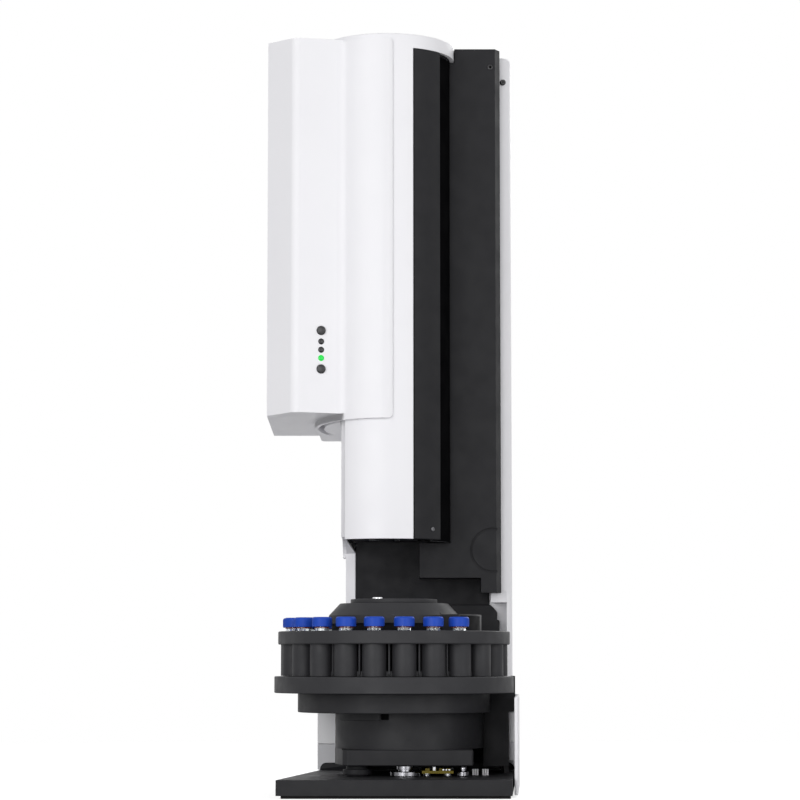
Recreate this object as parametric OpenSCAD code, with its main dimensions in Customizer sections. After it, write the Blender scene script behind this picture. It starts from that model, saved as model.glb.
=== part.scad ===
// Gas chromatography autosampler: an injector tower with a revolving door and a vial turret.
// Millimetres, +Z up, front towards -Y. The origin is the middle of the footprint, on the bench.

/* [Overall] */
// Height from the bench to the top of the door
total_h = 480; // [470:1:520]
// Half of the overall width, to the outer face of the head cover
half_w = 80.8; // [79:0.2:86]
// Half of the overall depth, from the front of the base to the back of the covers
half_d = 94; // [93:0.5:100]
// Wall of the moulded covers
wall = 2.4; // [2:0.1:3]

/* [Base] */
// Height of the rubber feet
foot_h = 1.9; // [1.5:0.1:6]
// Thickness of the base plate
base_t = 9.3; // [6:0.1:14]
// Width of the base plate along its front edge
base_front_w = 139.5; // [130:0.5:150]
// Place of the rear lip of the base plate
lip_y = 46; // [44:0.5:50]
// Height of the rear lip above the base plate
lip_h = 4.6; // [2:0.1:5.5]
// Radius of the bore for the mounting post
post_bore_r = 6.5; // [4:0.05:10]
// Radius of the inlet port below the needle
port_r = 9; // [4:0.1:10]
// Height of the lower rear panel and the right skirt
skirt_top = 59.6; // [55:0.1:60.5]

/* [Turret support] */
// Gap between the base plate and the drum foot
under_gap = 6.6; // [6:0.1:10]
// Height of the drum foot
drum_foot_h = 9.7; // [9:0.1:14]
// Height of the drum housing
drum_h = 22; // [21:0.1:30]
// Radius of the drum housing
drum_r = 46.2; // [45:0.1:48]
// Height of the collar
collar_h = 11.9; // [11:0.1:16]
// Radius of the collar
collar_r = 59.7; // [56:0.1:60]
// Height of the base ring
ring_h = 10.2; // [6:0.1:14]
// Radius of the base ring
ring_r = 74.3; // [73:0.1:74.5]

/* [Turret] */
// Distance of the turret axis in front of the origin
turret_back = 14; // [13:0.1:16]
// Number of vial positions
positions = 22; // [22]
// Number of vials in place
vial_count = 16; // [16]
// Radius of the circle of vials
vial_ring_r = 63.2; // [62.5:0.1:63.6]
// Outer radius of a well
well_r = 7.3; // [7.1:0.05:8.2]
// Height of the wells
well_h = 19.3; // [18:0.1:22]
// Radius of the turret rim
rim_r = 72; // [71.5:0.1:73]
// Height of the turret rim
rim_h = 8.1; // [5:0.1:10]
// Radius of a vial
vial_r = 5.8; // [5:0.05:5.9]
// Height of a vial without its cap
vial_h = 31.6; // [30.5:0.1:33]
// Radius of a vial cap
cap_r = 6.15; // [5.9:0.05:6.6]
// Height of a vial cap
cap_h = 5.9; // [5:0.1:7]
// Radius of the turret shaft
shaft_r = 8; // [6:0.1:9]

/* [Door] */
// Distance of the door axis to the left of the turret axis
door_left = 4.6; // [4:0.1:6]
// Distance of the door axis behind the origin
door_back = 36; // [35:0.1:37]
// Outer radius of the door
door_r = 43.5; // [43:0.1:44]
// Wall of the door
door_wall = 2.5; // [2:0.1:3]
// Height of the band round the top of the door
band_h = 9; // [6:0.5:12]
// Clear height between the turret rim and the door
sampling_gap = 58.2; // [54:0.2:66]
// Angle of the left edge of the door from the front
door_left_a = -37.7; // [-40:0.1:-30]
// Angle where the door meets its grip strip
strip_a = 23; // [15:1:30]
// Angle of the right edge of the grip strip
door_right_a = 52; // [45:1:55]

/* [Head cover] */
// Distance of the top of the head cover below the top of the door
head_drop = 3.3; // [3:0.1:8]
// Height of the head cover at its front edge
head_h = 239.4; // [220:0.2:260]
// Fall of the underside from front to back
head_fall = 7; // [2:0.5:10]
// How much lower the wrap round the door reaches
wrap_drop = 4; // [2:0.5:6]
// Height of the lit lamp above the front edge of the head cover
lamp_up = 34.5; // [30:0.5:45]
// Radius of a push-button
button_r = 2.7; // [2:0.1:3]
// Travel of a push-button
button_travel = 0.8; // [0.5:0.1:1]
// Radius of a lamp
lamp_r = 1.9; // [1.5:0.1:2.2]

/* [Syringe drive] */
// Stroke of the carriage
carriage_stroke = 50; // [20:1:50]
// Stroke of the plunger
plunger_stroke = 50; // [20:1:50]
// Stroke of the needle foot
foot_stroke = 30; // [10:1:30]
// Radius of a guide rod
rod_r = 3; // [2.5:0.1:3.5]
// Radius of a lead screw
screw_r = 3; // [2.5:0.1:3]
// Radius of the syringe barrel
barrel_r = 3.3; // [2.5:0.1:3.6]
// Length of the syringe barrel
barrel_h = 60; // [55:0.5:62]
// Radius of the needle
needle_r = 0.3; // [0.2:0.05:0.4]
// Length of the needle below its hub
needle_h = 50; // [48:0.5:51]

/* [Clearances] */
// Radial clearance of a turning or sliding shaft
run_fit = 0.05; // [0.02:0.01:0.1]
// Radial clearance of a fixed seat
seat_fit = 0.02; // [0.01:0.01:0.05]
// Gap between pieces that pass each other
pass_gap = 0.3; // [0.3:0.05:0.5]
// Gap round the revolving door
door_gap = 0.6; // [0.5:0.05:1]

/* [Hidden] */
$fn = 96;
eps = 0.01;
cut = 200;

// Heights, stacked up from the bench
base_top = foot_h + base_t;
foot_top = base_top + under_gap + drum_foot_h;
foot_bottom = base_top + under_gap;
drum_top = foot_top + drum_h;
collar_top = drum_top + collar_h;
ring_top = collar_top + ring_h;
well_bottom = ring_top + pass_gap;
well_floor = 3;
well_top = well_bottom + well_h;
rim_top = well_top + rim_h;
door_bottom = rim_top + sampling_gap;
door_top = total_h;
band_bottom = door_top - band_h;
panel_top = total_h - 0.3;
rear_top = total_h - 1;
head_top = total_h - head_drop;
head_front_z = head_top - head_h;

// Turret places
turret_y = -turret_back;
pitch_a = 360 / positions;
phase_a = asin(door_left / vial_ring_r) + 1.4;
first_vial = 2;
last_vial = first_vial - vial_count + 1;
bore_r = vial_r + 0.5;
function vial_a(k) = phase_a + k * pitch_a;
function on_ring(a, r) = [r * sin(a), -r * cos(a), 0];
filled_to_a = vial_a(first_vial + 0.5);
open_count = positions - vial_count;
pass_well = first_vial + open_count;
open_to_a = vial_a(pass_well + 0.5);
floor_in_r = 48;
segment_r = 54;
segment_a = 0.03;
needle_x = -vial_ring_r * sin(phase_a);
needle_y = turret_y + vial_ring_r * cos(phase_a);

// Dome on top of the turret
dome_wall_r = 40.6;
dome_top_r = 33.6;
dome_wall_h = 9.8;
dome_h = 17.3;
dome_band_h = 4.7;
dome_cap_r = 27;
dome_cap_h = 2.7;
shoulder_out = 54.4;
shoulder_h = 10.2;

// Drum and turret drive
drum_x = 9.6;
drum_front = turret_y - 40;
drum_y = drum_front + drum_r;
drum_wall = 3;
motor_r = 14;
motor_x = 32;
motor_y = turret_y + 16;
motor_h = 11.5;
big_pulley_r = 16;
small_pulley_r = 6;
pulley_h = 6;
pulley_z = foot_top + motor_h + 1;
motor_shaft_r = 2.5;
belt_t = 1.2;
bearing_r = shaft_r + 8;
bearing_h = 7;

// Tower walls
door_in = door_r - door_wall;
door_arm_h = 1.6;
low_arm_z = door_bottom + door_arm_h + pass_gap;
tower_left = -33.4;
tower_low_left = -31.5;
tower_right = 77.2;
plate_y = door_back + 30;
plate_t = 3;
plate_left = -25;
plate_right = 62.3;
left_wall_y = door_back - sqrt(pow(door_in - door_gap, 2) - pow(tower_left + door_left, 2));
right_front_y = door_back + 20;
corner_r = 7;
step_z = door_bottom - 6.5;
back_in = half_d - wall;

// Side panel
panel_left = 36.4;
panel_right = 65.9;
panel_t = 3;
panel_edge = 69.2;
panel_low_left = 16.5;
panel_bottom = door_bottom - 32.6;
panel_step = door_bottom - 23.1;
panel_shelf = door_bottom - door_gap - 0.4;
groove_x = 63.4;
groove_z = door_bottom - 5.5;
groove_r = 13.8;
groove_w = 1.6;

// Head cover outline
head_front = [-62.7, door_back - 44];
head_left = [-half_w, door_back - 28];
head_back = [1 - half_w, half_d - 8];
wrap_r = door_r + 3;
wrap_in = door_r + door_gap;
wrap_end_a = 4.9;
valley_a = -37;
valley = [-door_left + wrap_r * sin(valley_a), door_back - wrap_r * cos(valley_a)];
front_a = atan2(valley[1] - head_front[1], valley[0] - head_front[0]);
head_slope = atan2(head_fall, head_back[1] - head_front[1]);
door_swing_a = 80;
slot_end_a = door_left_a - door_swing_a - 3.3;
sill_r = wrap_in + wall / 2;
sill_start_a = -46;
sill_x = tower_left - 14.6;
sill_back = head_back[1] - 1.5;
sill_corner = 2;
control_along = 17.1;
lamp_z = head_front_z + lamp_up;
lamp_pitch = 5.25;
button_up = 7;
control_wall = 2.4;

// Syringe drive
drive_half_w = 22;
rod_dx = 17.5;
rod_y = plate_y - 7;
rod_block_front = rod_y - 4.5;
screw_dx = 9;
block_front = plate_y - 13.4;
block_back = plate_y - 1.6;
block_gap = 9.3;
needle_tip = door_bottom + 3;
hub_bottom = needle_tip + needle_h;
hub_h = 6;
hub_r = 4;
barrel_bottom = hub_bottom + 2;
barrel_top = barrel_bottom + barrel_h;
flange_r = barrel_r + 2.7;
flange_h = 2;
low_block_z = door_bottom + 1;
low_block_h = 7.5;
nut_h = 8;
block_bottom = low_block_z + low_block_h + carriage_stroke + nut_h + 1;
block_top = barrel_top + plunger_stroke + 28;
carrier_bottom = barrel_top + 9;
carrier_h = 16;
slot_half_w = 3.3;
slot_depth = 4.4;
arm_top = band_bottom - 5;
arm_h = 5;
drive_motor_h = 20;
drive_motor_r = 11;
drive_motor_top = arm_top - arm_h - 1;
up_block_h = 8;
up_block_z = drive_motor_top - drive_motor_h - up_block_h;
pivot_r = 3;
latch_z = barrel_bottom + 28;
latch_h = 16;
latch_pin_r = 1.2;
latch_x = needle_x + 10;
latch_y = needle_y - 1.9;
foot_rod_r = 1;
foot_rod_dx = -7;
foot_plate_h = 4.5;
foot_half_w = 10;
foot_z = door_bottom + 1;

white = "whitesmoke";
black = "#303034";
steel = "silver";

// Helpers

// A box between two corners
module box(low, high) {
  translate(low) cube(high - low);
}

// An upright rod
module rod(x, y, z0, z1, r) {
  translate([x, y, z0]) cylinder(r = r, h = z1 - z0);
}

// An upright tube
module tube(z0, z1, r_in, r_out) {
  translate([0, 0, z0]) difference() {
    cylinder(r = r_out, h = z1 - z0);
    translate([0, 0, -eps]) cylinder(r = r_in, h = z1 - z0 + 2 * eps);
  }
}

// A part of an upright tube, between two angles from the front towards +X
module sector(z0, z1, r_in, r_out, a0, a1) {
  translate([0, 0, z0]) rotate([0, 0, a0 - 90]) rotate_extrude(angle = a1 - a0)
    translate([r_in, 0]) square([r_out - r_in, z1 - z0]);
}

module at_turret() {
  translate([0, turret_y, 0]) children();
}

module at_door() {
  translate([-door_left, door_back, 0]) children();
}

// Repeat on vial positions first to last
module at_wells(first, last) {
  for (k = [first : last]) at_turret() translate(on_ring(vial_a(k), vial_ring_r)) children();
}

// Place on the sloping front of the head cover, at a height, with +Z pointing out of the cover
module on_front(z) {
  translate([head_front[0], head_front[1], z]) rotate([0, 0, front_a])
    translate([control_along, 0, 0]) rotate([90, 0, 0]) children();
}

// Base and covers

lip_left = -47.5;
skirt_t = 2.2;
skirt_gap = 1;
lip_right = half_w - skirt_gap - skirt_t;
base_right_back = half_w - 1.2;
base_left_back = -49;
base_outline = [[-base_front_w / 2, -half_d], [base_front_w / 2, -half_d], [lip_right, lip_y],
  [base_right_back, back_in], [base_left_back, back_in], [lip_left, lip_y]];
lip_t = 2;
lip_corner = 4;
port_edge = 3;
post_x = 25;
post_inset = 11.6;
post_y = back_in - post_inset;

module base_plate() {
  color(black) difference() {
    union() {
      translate([0, 0, foot_h]) linear_extrude(base_t) polygon(base_outline);
      translate([0, lip_y, base_top]) rotate([90, 0, 0]) translate([0, 0, -lip_t]) linear_extrude(lip_t)
        union() {
          translate([lip_left + lip_corner, 0]) square([lip_right - lip_left - 2 * lip_corner, lip_h]);
          translate([lip_left, 0]) square([lip_right - lip_left, lip_h - lip_corner]);
          intersection() {
            for (x = [lip_left + lip_corner, lip_right - lip_corner])
              translate([x, lip_h - lip_corner]) circle(lip_corner);
            translate([lip_left, 0]) square([lip_right - lip_left, lip_h]);
          }
        }
    }
    rod(post_x, post_y, -eps, base_top + eps, post_bore_r);
    rod(needle_x, needle_y, -eps, base_top + eps, port_r);
    box([needle_x - port_r - port_edge, lip_y - eps, base_top],
      [needle_x + port_r + port_edge, lip_y + lip_t + eps, base_top + lip_h + eps]);
  }
}

// Each pad: middle x, middle y, width
front_pad_w = base_front_w - 3.5;
pads = [[1, 12 - half_d, front_pad_w], [-30, half_d - 20, 26], [62, half_d - 20, 26]];
pad_d = 14;

module rubber_feet() {
  color("black") for (p = pads)
    box([p[0] - p[2] / 2, p[1] - pad_d / 2, 0], [p[0] + p[2] / 2, p[1] + pad_d / 2, foot_h]);
}

skirt_front = 20;
edge_slope = (lip_right - base_front_w / 2) / (lip_y + half_d);
function base_edge(y) = base_front_w / 2 + edge_slope * (y + half_d);

module right_skirt() {
  y0 = skirt_front - half_d;
  color(white) translate([0, 0, 1.3]) linear_extrude(skirt_top - 1.3)
    polygon([[base_edge(y0) + skirt_gap, y0], [base_edge(y0) + skirt_gap + skirt_t, y0],
      [base_edge(lip_y) + skirt_gap + skirt_t, lip_y], [base_edge(lip_y) + skirt_gap, lip_y]]);
}

low_panel_left = -49.3;
low_front = lip_y + lip_t + pass_gap;
low_front_in = low_front + wall;
low_step = 0.8;
low_step_z = base_top + 16.6;

// The panel behind the turret support, with its front open before the chassis plate
module lower_rear_panel() {
  color("gainsboro") {
    difference() {
      box([low_panel_left, low_front, base_top], [half_w, half_d, skirt_top]);
      box([low_panel_left + wall, low_front_in, base_top - eps], [half_w - wall, back_in, skirt_top - wall]);
      box([tower_low_left, low_front_in, skirt_top - wall - eps], [half_w - wall, back_in, skirt_top + eps]);
      box([plate_left, lip_y, base_top - eps], [plate_right, low_front_in + eps, skirt_top + eps]);
      box([low_panel_left - eps, lip_y, base_top - eps], [half_w + eps, low_front + low_step, low_step_z]);
    }
    box([low_panel_left, back_in, foot_h], [half_w, half_d, base_top]);
  }
}

module chassis_plate() {
  color(black) difference() {
    box([plate_left, plate_y, base_top], [plate_right, plate_y + plate_t, band_bottom - 3]);
    at_drive(screw_dx)
      rod(0, rod_y, drive_motor_top - drive_motor_h - 1, drive_motor_top + 1, drive_motor_r + 1);
  }
}

ledge_left = 63;
ledge_right = 73.3;
ledge_z = door_bottom - 38.5;
ledge_h = 7;
socket_x = 22;
socket_w = 34;
socket_h = 14;
socket_z = skirt_top + 30;
screw_head_r = 3;
seam = 0.4;

// Places of the cover screws in the back wall
back_screws = [for (x = [tower_low_left + 10, tower_right - 10])
  for (z = [skirt_top + 12, rear_top - 20]) [x, z]];

module rear_cover() {
  corner_x = tower_right - corner_r;
  corner_y = right_front_y + corner_r;
  color(white) difference() {
    union() {
      box([tower_low_left, plate_y, skirt_top], [tower_low_left + wall, half_d, step_z - wall]);
      box([tower_low_left, plate_y, skirt_top], [plate_left - pass_gap, plate_y + wall, step_z - wall]);
      translate([tower_left, 0, 0]) rotate([90, 0, 90]) linear_extrude(wall)
        polygon([[left_wall_y, low_arm_z], [door_back + 12, low_arm_z], [plate_y, step_z], [half_d, step_z],
          [half_d, rear_top], [left_wall_y, rear_top]]);
      box([tower_left, plate_y, step_z - wall], [plate_left - pass_gap, half_d, step_z]);
      box([tower_low_left, back_in, skirt_top], [tower_right, half_d, rear_top]);
      box([tower_left, back_in, step_z], [tower_right, half_d, rear_top]);
      box([tower_right - wall, corner_y, skirt_top], [tower_right, half_d, rear_top - wall]);
      translate([corner_x, corner_y, 0]) {
        sector(skirt_top, rear_top - wall, corner_r - wall, corner_r, 0, 90);
        sector(rear_top - wall, rear_top, 0, corner_r, 0, 90);
      }
      box([panel_edge + seam, right_front_y, skirt_top], [corner_x, right_front_y + wall, rear_top - wall]);
      box([tower_left, right_front_y, rear_top - wall], [corner_x, half_d, rear_top]);
      box([corner_x, corner_y, rear_top - wall], [tower_right, half_d, rear_top]);
      box([ledge_left, right_front_y, ledge_z], [ledge_right, plate_y - pass_gap, ledge_z + ledge_h]);
      box([plate_right + pass_gap, plate_y + pass_gap, skirt_top],
        [tower_right - wall / 2, plate_y + pass_gap + wall, ledge_z + ledge_h]);
    }
    box([panel_edge, right_front_y - 1, skirt_top - eps], [ledge_right, corner_y - 1, ledge_z]);
    at_door() translate([0, 0, band_bottom - door_gap]) cylinder(r = wrap_in, h = cut);
    box([socket_x - socket_w / 2, back_in - eps, socket_z],
      [socket_x + socket_w / 2, half_d + eps, socket_z + socket_h]);
    for (s = back_screws) translate([s[0], half_d + eps, s[1]]) rotate([90, 0, 0])
      cylinder(r = screw_head_r + pass_gap, h = wall / 2 + eps);
  }
}

panel_foot = panel_right - 9.9;
panel_lip = band_bottom - door_gap;
panel_back = right_front_y - pass_gap;
door_edge = door_r - door_left - wall;
panel_outline = [[door_edge, panel_top], [panel_right, panel_top], [panel_right, panel_bottom],
  [panel_foot, panel_bottom], [panel_foot, panel_step], [panel_low_left, panel_step],
  [panel_low_left, panel_shelf], [panel_left, panel_shelf], [panel_left, panel_lip],
  [door_edge, panel_lip]];
chamfer_y = door_back + 6;
shroud_r = door_in - door_gap;
shroud_a = 46;
shroud_end_a = 92;
groove_depth = 1.2;

// Plan of the plates that close the side panel, from a left edge
module panel_plan(left) {
  polygon([[left, door_back], [panel_right, door_back], [panel_edge, chamfer_y], [panel_edge, panel_back],
    [left, panel_back]]);
}

module side_panel() {
  inner_y = door_back + panel_t - eps;
  color(black) difference() {
    union() {
      translate([0, door_back + panel_t, 0]) rotate([90, 0, 0]) linear_extrude(panel_t)
        polygon(panel_outline);
      translate([0, 0, panel_bottom]) linear_extrude(panel_top - panel_bottom)
        polygon([[panel_right, door_back], [panel_edge, chamfer_y], [panel_edge, panel_back],
          [panel_edge - wall, panel_back], [panel_edge - wall, chamfer_y + 0.6],
          [panel_right, door_back + panel_t]]);
      box([panel_left, inner_y, panel_shelf], [panel_left + wall, plate_y, panel_lip]);
      box([panel_low_left, inner_y, panel_step], [panel_low_left + wall, plate_y, panel_shelf]);
      box([panel_low_left, inner_y, panel_shelf - wall], [panel_left + wall, plate_y, panel_shelf]);
      box([panel_low_left, inner_y, panel_step], [panel_foot, plate_y, panel_step + wall]);
      box([panel_foot, inner_y, panel_bottom], [panel_foot + wall, panel_back, panel_step + wall]);
      translate([0, 0, panel_bottom]) linear_extrude(wall) panel_plan(panel_foot);
      translate([0, 0, panel_top - wall]) linear_extrude(wall) panel_plan(panel_left);
      at_door() sector(panel_shelf, panel_lip, shroud_r - wall, shroud_r, shroud_a, shroud_end_a);
      box([panel_left - wall / 2, door_back + seam, panel_shelf + 1],
        [panel_left + 1, door_back + panel_t, panel_lip - 1]);
    }
    at_door() rod(0, 0, panel_lip, total_h + 1, wrap_in);
    translate([groove_x, door_back + groove_depth, groove_z]) rotate([90, 0, 0])
      tube(0, cut, groove_r - groove_w / 2, groove_r + groove_w / 2);
  }
}

module cover_screws() {
  color("dimgray") {
    for (s = back_screws) translate([s[0], half_d, s[1]]) rotate([90, 0, 0])
      cylinder(r = screw_head_r, h = wall / 2);
    translate([panel_right - 3.1, door_back, panel_top - 12]) rotate([90, 0, 0])
      cylinder(r = 1.6, h = 0.7);
    translate([panel_edge + 2.6, right_front_y, panel_top - 17.7]) rotate([90, 0, 0])
      cylinder(r = 1.9, h = 1.2);
  }
}

// Solid plan of the head cover, left of the tower wall, shrunk by a wall
module head_plan(inset) {
  dx = [sin(front_a), -cos(front_a)];
  along = [cos(front_a), sin(front_a)];
  f = head_front - inset * dx + 0.55 * inset * along;
  right = tower_left - pass_gap + (inset > 0 ? eps : 0);
  polygon([f, [head_left[0] + inset, head_left[1] + inset * 0.4],
    [head_back[0] + inset, head_back[1] - inset], [right, head_back[1] - inset], [right, door_back],
    valley - inset * dx + wall / 2 * along]);
}

// Everything below the slope of the head's underside, from a height at its front edge
module below_slope(z) {
  translate([0, head_front[1], z]) rotate([-head_slope, 0, 0]) translate([-cut, -cut / 2, -cut])
    cube([2 * cut, 2 * cut, cut]);
}

// Everything above that slope
module above_slope(z) {
  translate([0, head_front[1], z]) rotate([-head_slope, 0, 0]) translate([-cut, -cut / 2, 0])
    cube([2 * cut, 2 * cut, cut]);
}

function on_sill(a) = [-door_left + sill_r * sin(a), door_back - sill_r * cos(a)];

// Plan of the sill that closes the underside, from the wrap back along the tower wall
module sill_plan() {
  polygon(concat([[tower_left, on_sill(sill_start_a)[1]]],
    [for (a = [sill_start_a, -60, -75, -90, -97]) on_sill(a)],
    [[sill_x, sill_back - sill_corner], [sill_x + sill_corner, sill_back], [tower_left, sill_back]]));
}

// The part of the sill inside the door's circle, left of the slot that the door turns into
module inner_sill() {
  difference() {
    box([-cut, -cut, head_front_z - 40], [tower_left - pass_gap - 0.2, cut, head_front_z + 40]);
    above_slope(head_front_z + 0.75 * wall);
    at_door() sector(head_front_z - 41, head_front_z + 41, shroud_r, wrap_in + 1, slot_end_a, 0);
  }
}

module head_cover() {
  lamps = [0, 1, 2];
  color(white) difference() {
    union() {
      difference() {
        translate([0, 0, head_front_z - 20]) linear_extrude(head_h + 20) head_plan(0);
        below_slope(head_front_z);
        difference() {
          translate([0, 0, head_front_z - 30]) linear_extrude(head_h + 30 - wall) head_plan(wall);
          below_slope(head_front_z + wall);
          at_door() translate([0, 0, head_front_z - 30]) cylinder(r = wrap_r - wall / 3, h = head_h + 60);
        }
      }
      difference() {
        union() {
          at_door() sector(head_front_z - 20, head_top - seam, wrap_in - 1, wrap_r, -140, wrap_end_a);
          difference() {
            translate([0, 0, head_front_z - 20]) linear_extrude(40) sill_plan();
            above_slope(head_front_z + wall / 2);
          }
        }
        below_slope(head_front_z - wrap_drop);
      }
    }
    difference() {
      at_door() translate([0, 0, head_front_z - 30]) cylinder(r = wrap_in, h = head_h + 60);
      inner_sill();
    }
    box([tower_left - pass_gap, door_back, head_front_z - 30], [cut, cut, total_h + eps]);
    for (i = lamps) on_front(lamp_z + i * lamp_pitch)
      translate([0, 0, -5]) cylinder(r = lamp_r + run_fit, h = 10);
    for (z = [lamp_z - button_up, lamp_z + 2 * lamp_pitch + button_up]) on_front(z)
      translate([0, 0, -5]) cylinder(r = button_r + pass_gap, h = 10);
  }
  color(white) for (z = [lamp_z - 13, lamp_z + 2 * lamp_pitch + 13]) on_front(z)
    translate([0, 0, -board_back]) cylinder(r = 2, h = board_back - 1);
}

board_back = 9;
board_t = 1.6;

board_half_w = 8;
board_in_w = 5;
board_half_h = 22;

module status_board() {
  color("darkgreen") on_front(lamp_z + lamp_pitch)
    box([-board_half_w, -board_half_h, -board_back - board_t], [board_in_w, board_half_h, -board_back]);
}

// A lamp: a lens with a collar behind the wall, on a lead down to the board
module lamp() {
  translate([0, 0, -control_wall]) cylinder(r = lamp_r, h = control_wall + 0.3);
  translate([0, 0, -board_back]) cylinder(r = lamp_r + 0.5, h = board_back - control_wall);
}

module dark_lamps() {
  color("#202024") for (i = [1, 2]) on_front(lamp_z + i * lamp_pitch) lamp();
}

module lit_lamp() {
  color("lime") on_front(lamp_z) lamp();
}

// A push-button: a domed face through the cover and a flange that stops it behind the wall
module push_button() {
  translate([0, 0, -control_wall - 1.5]) cylinder(r = button_r, h = control_wall + 1.5 + 1.2);
  translate([0, 0, -control_wall - 1.5]) cylinder(r = button_r + 0.9, h = 1.2);
  translate([0, 0, -board_back + button_travel + pass_gap])
    cylinder(r = 1.2, h = board_back - control_wall - 2);
}

module upper_button() {
  color(black) on_front(lamp_z + 2 * lamp_pitch + button_up) push_button();
}

module lower_button() {
  color(black) on_front(lamp_z - button_up) push_button();
}

module rear_socket() {
  color(black) difference() {
    box([socket_x - socket_w / 2 + pass_gap, back_in - 8, socket_z + pass_gap],
      [socket_x + socket_w / 2 - pass_gap, half_d - 0.2, socket_z + socket_h - pass_gap]);
    box([socket_x - socket_w / 2 + 4, half_d - 6, socket_z + 3.5],
      [socket_x + socket_w / 2 - 4, half_d, socket_z + socket_h - 3.5]);
  }
}

// Turret support

module base_ring() {
  color(black) difference() {
    at_turret() tube(collar_top, ring_top, bearing_r + 2, ring_r);
    rod(needle_x, needle_y, collar_top - eps, ring_top + eps, 4);
  }
}

module turret_collar() {
  color(black) difference() {
    at_turret() tube(drum_top, collar_top, shaft_r + 2, collar_r);
    at_turret() rod(0, 0, drum_top + 2.5, collar_top + eps, bearing_r + seat_fit);
  }
}

flank_left = -36.5;
foot_left = -31.4;
foot_right = 48;
drum_foot_reach = 44;
drum_foot_back = turret_y + drum_foot_reach;
flank_front = 8;
flank_slant = 20;
flank_back = 14;
tab_a = [-66, -22];

module drum_housing() {
  color(black) {
    difference() {
      translate([drum_x, drum_y, 0]) tube(foot_top, drum_top, drum_r - drum_wall, drum_r);
      box([flank_left - 20, drum_y - cut, foot_top - eps], [flank_left, drum_y + cut, drum_top + eps]);
    }
    difference() {
      translate([drum_x, drum_y, drum_top - 2.5]) cylinder(r = drum_r - drum_wall + eps, h = 2.5);
      at_turret() rod(0, 0, drum_top - 3, drum_top + eps, shaft_r + 2);
    }
    translate([0, 0, foot_bottom]) linear_extrude(drum_foot_h + eps)
      polygon([[flank_left, drum_y - flank_front], [foot_left - pass_gap, drum_y - flank_front - flank_slant],
        [foot_left - pass_gap, drum_y + flank_back], [flank_left, drum_y + flank_back]]);
    translate([drum_x, drum_y, 0])
      sector(drum_top - 4.5, drum_top - 1.5, drum_r - eps, drum_r + 0.7, tab_a[0], tab_a[1]);
  }
}

module drum_foot() {
  color(black) difference() {
    translate([0, 0, foot_bottom]) linear_extrude(drum_foot_h)
      polygon([[foot_left, drum_front + 3], [foot_left + 3, drum_front], [foot_right - 1, drum_front],
        [foot_right, drum_front + 1], [foot_right, drum_foot_back], [foot_left, drum_foot_back]]);
    at_turret() rod(0, 0, foot_top - bearing_h, foot_top + eps, bearing_r + seat_fit);
  }
}

stand_left = drum_x + drum_r;
stand_inset = 9.1;
stand_right = half_w - stand_inset;
stand_front = turret_y + 10;
stand_back = lip_y - 4;
bracket_inset = 5.8;
bracket_right = half_w - bracket_inset;
leaf_t = 1.4;
ring_edge_y = turret_y + sqrt(max(0, pow(ring_r + pass_gap, 2) - pow(bracket_right, 2)));
leaf_front = max(stand_front + 14, ring_edge_y + seam);

module side_stand() {
  color(black) {
    difference() {
      box([stand_left, stand_front, base_top + 4.5], [stand_right, stand_back, drum_top]);
      box([stand_left - eps, stand_front + 3, base_top], [stand_right - 3, stand_back - 3, drum_top - 3]);
      translate([drum_x, drum_y, 0]) rod(0, 0, base_top, drum_top + eps, drum_r);
    }
    box([stand_right - 3, stand_front + 3, base_top], [stand_right, stand_front + 12, base_top + 5]);
    box([stand_right - 3, stand_back - 12, base_top], [stand_right, stand_back - 3, base_top + 5]);
    difference() {
      box([stand_left, stand_front, drum_top - eps], [bracket_right, stand_back, collar_top]);
      at_turret() rod(0, 0, drum_top - 1, collar_top + 1, collar_r);
    }
    box([bracket_right - eps, leaf_front, drum_top], [bracket_right + leaf_t, stand_back, ring_top]);
  }
}

guard_y = turret_y + ring_r + 0.7;
guard_rise = 18.3;
guard_top = rim_top + guard_rise;
guard_shoulder = 13.5;
guard_step = 8.4;
guard_right = 63;

module rear_guard() {
  color(black) translate([0, plate_y, 0]) rotate([90, 0, 0]) linear_extrude(plate_y - guard_y)
    polygon([[plate_left, drum_top], [guard_right + 5.8, drum_top],
      [guard_right + 5.8, rim_top + guard_step], [guard_right + 4.3, rim_top + guard_step],
      [guard_right + 4.3, rim_top + guard_shoulder], [guard_right, guard_top], [plate_left, guard_top]]);
}

module turret_bearings() {
  color(steel) at_turret() {
    tube(foot_top - bearing_h, foot_top, shaft_r + run_fit, bearing_r);
    tube(drum_top + 2.5, drum_top + 2.5 + bearing_h, shaft_r + run_fit, bearing_r);
  }
}

module turret_motor() {
  color("dimgray") translate([motor_x, motor_y, 0])
    difference() {
      rod(0, 0, foot_top, foot_top + motor_h, motor_r);
      rod(0, 0, foot_top + 4, foot_top + motor_h + eps, motor_shaft_r + run_fit);
    }
}

module motor_pulley() {
  color("tan") translate([motor_x, motor_y, 0]) {
    rod(0, 0, foot_top + 4 + pass_gap, pulley_z + eps, motor_shaft_r);
    rod(0, 0, pulley_z, pulley_z + pulley_h, small_pulley_r);
  }
}

// Outline of the belt round both pulleys at a distance from their rims
module belt_plan(gap) {
  hull() {
    translate([0, turret_y]) circle(big_pulley_r + gap, $fn = 48);
    translate([motor_x, motor_y]) circle(small_pulley_r + gap, $fn = 32);
  }
}

module drive_belt() {
  color("black") translate([0, 0, pulley_z + 0.5]) linear_extrude(pulley_h - 1) difference() {
    belt_plan(pass_gap + belt_t);
    belt_plan(pass_gap);
  }
}

board_left = 17;
board_right = 36;
board_z = base_top + 2;
board_front = drum_front + 2;

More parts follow.
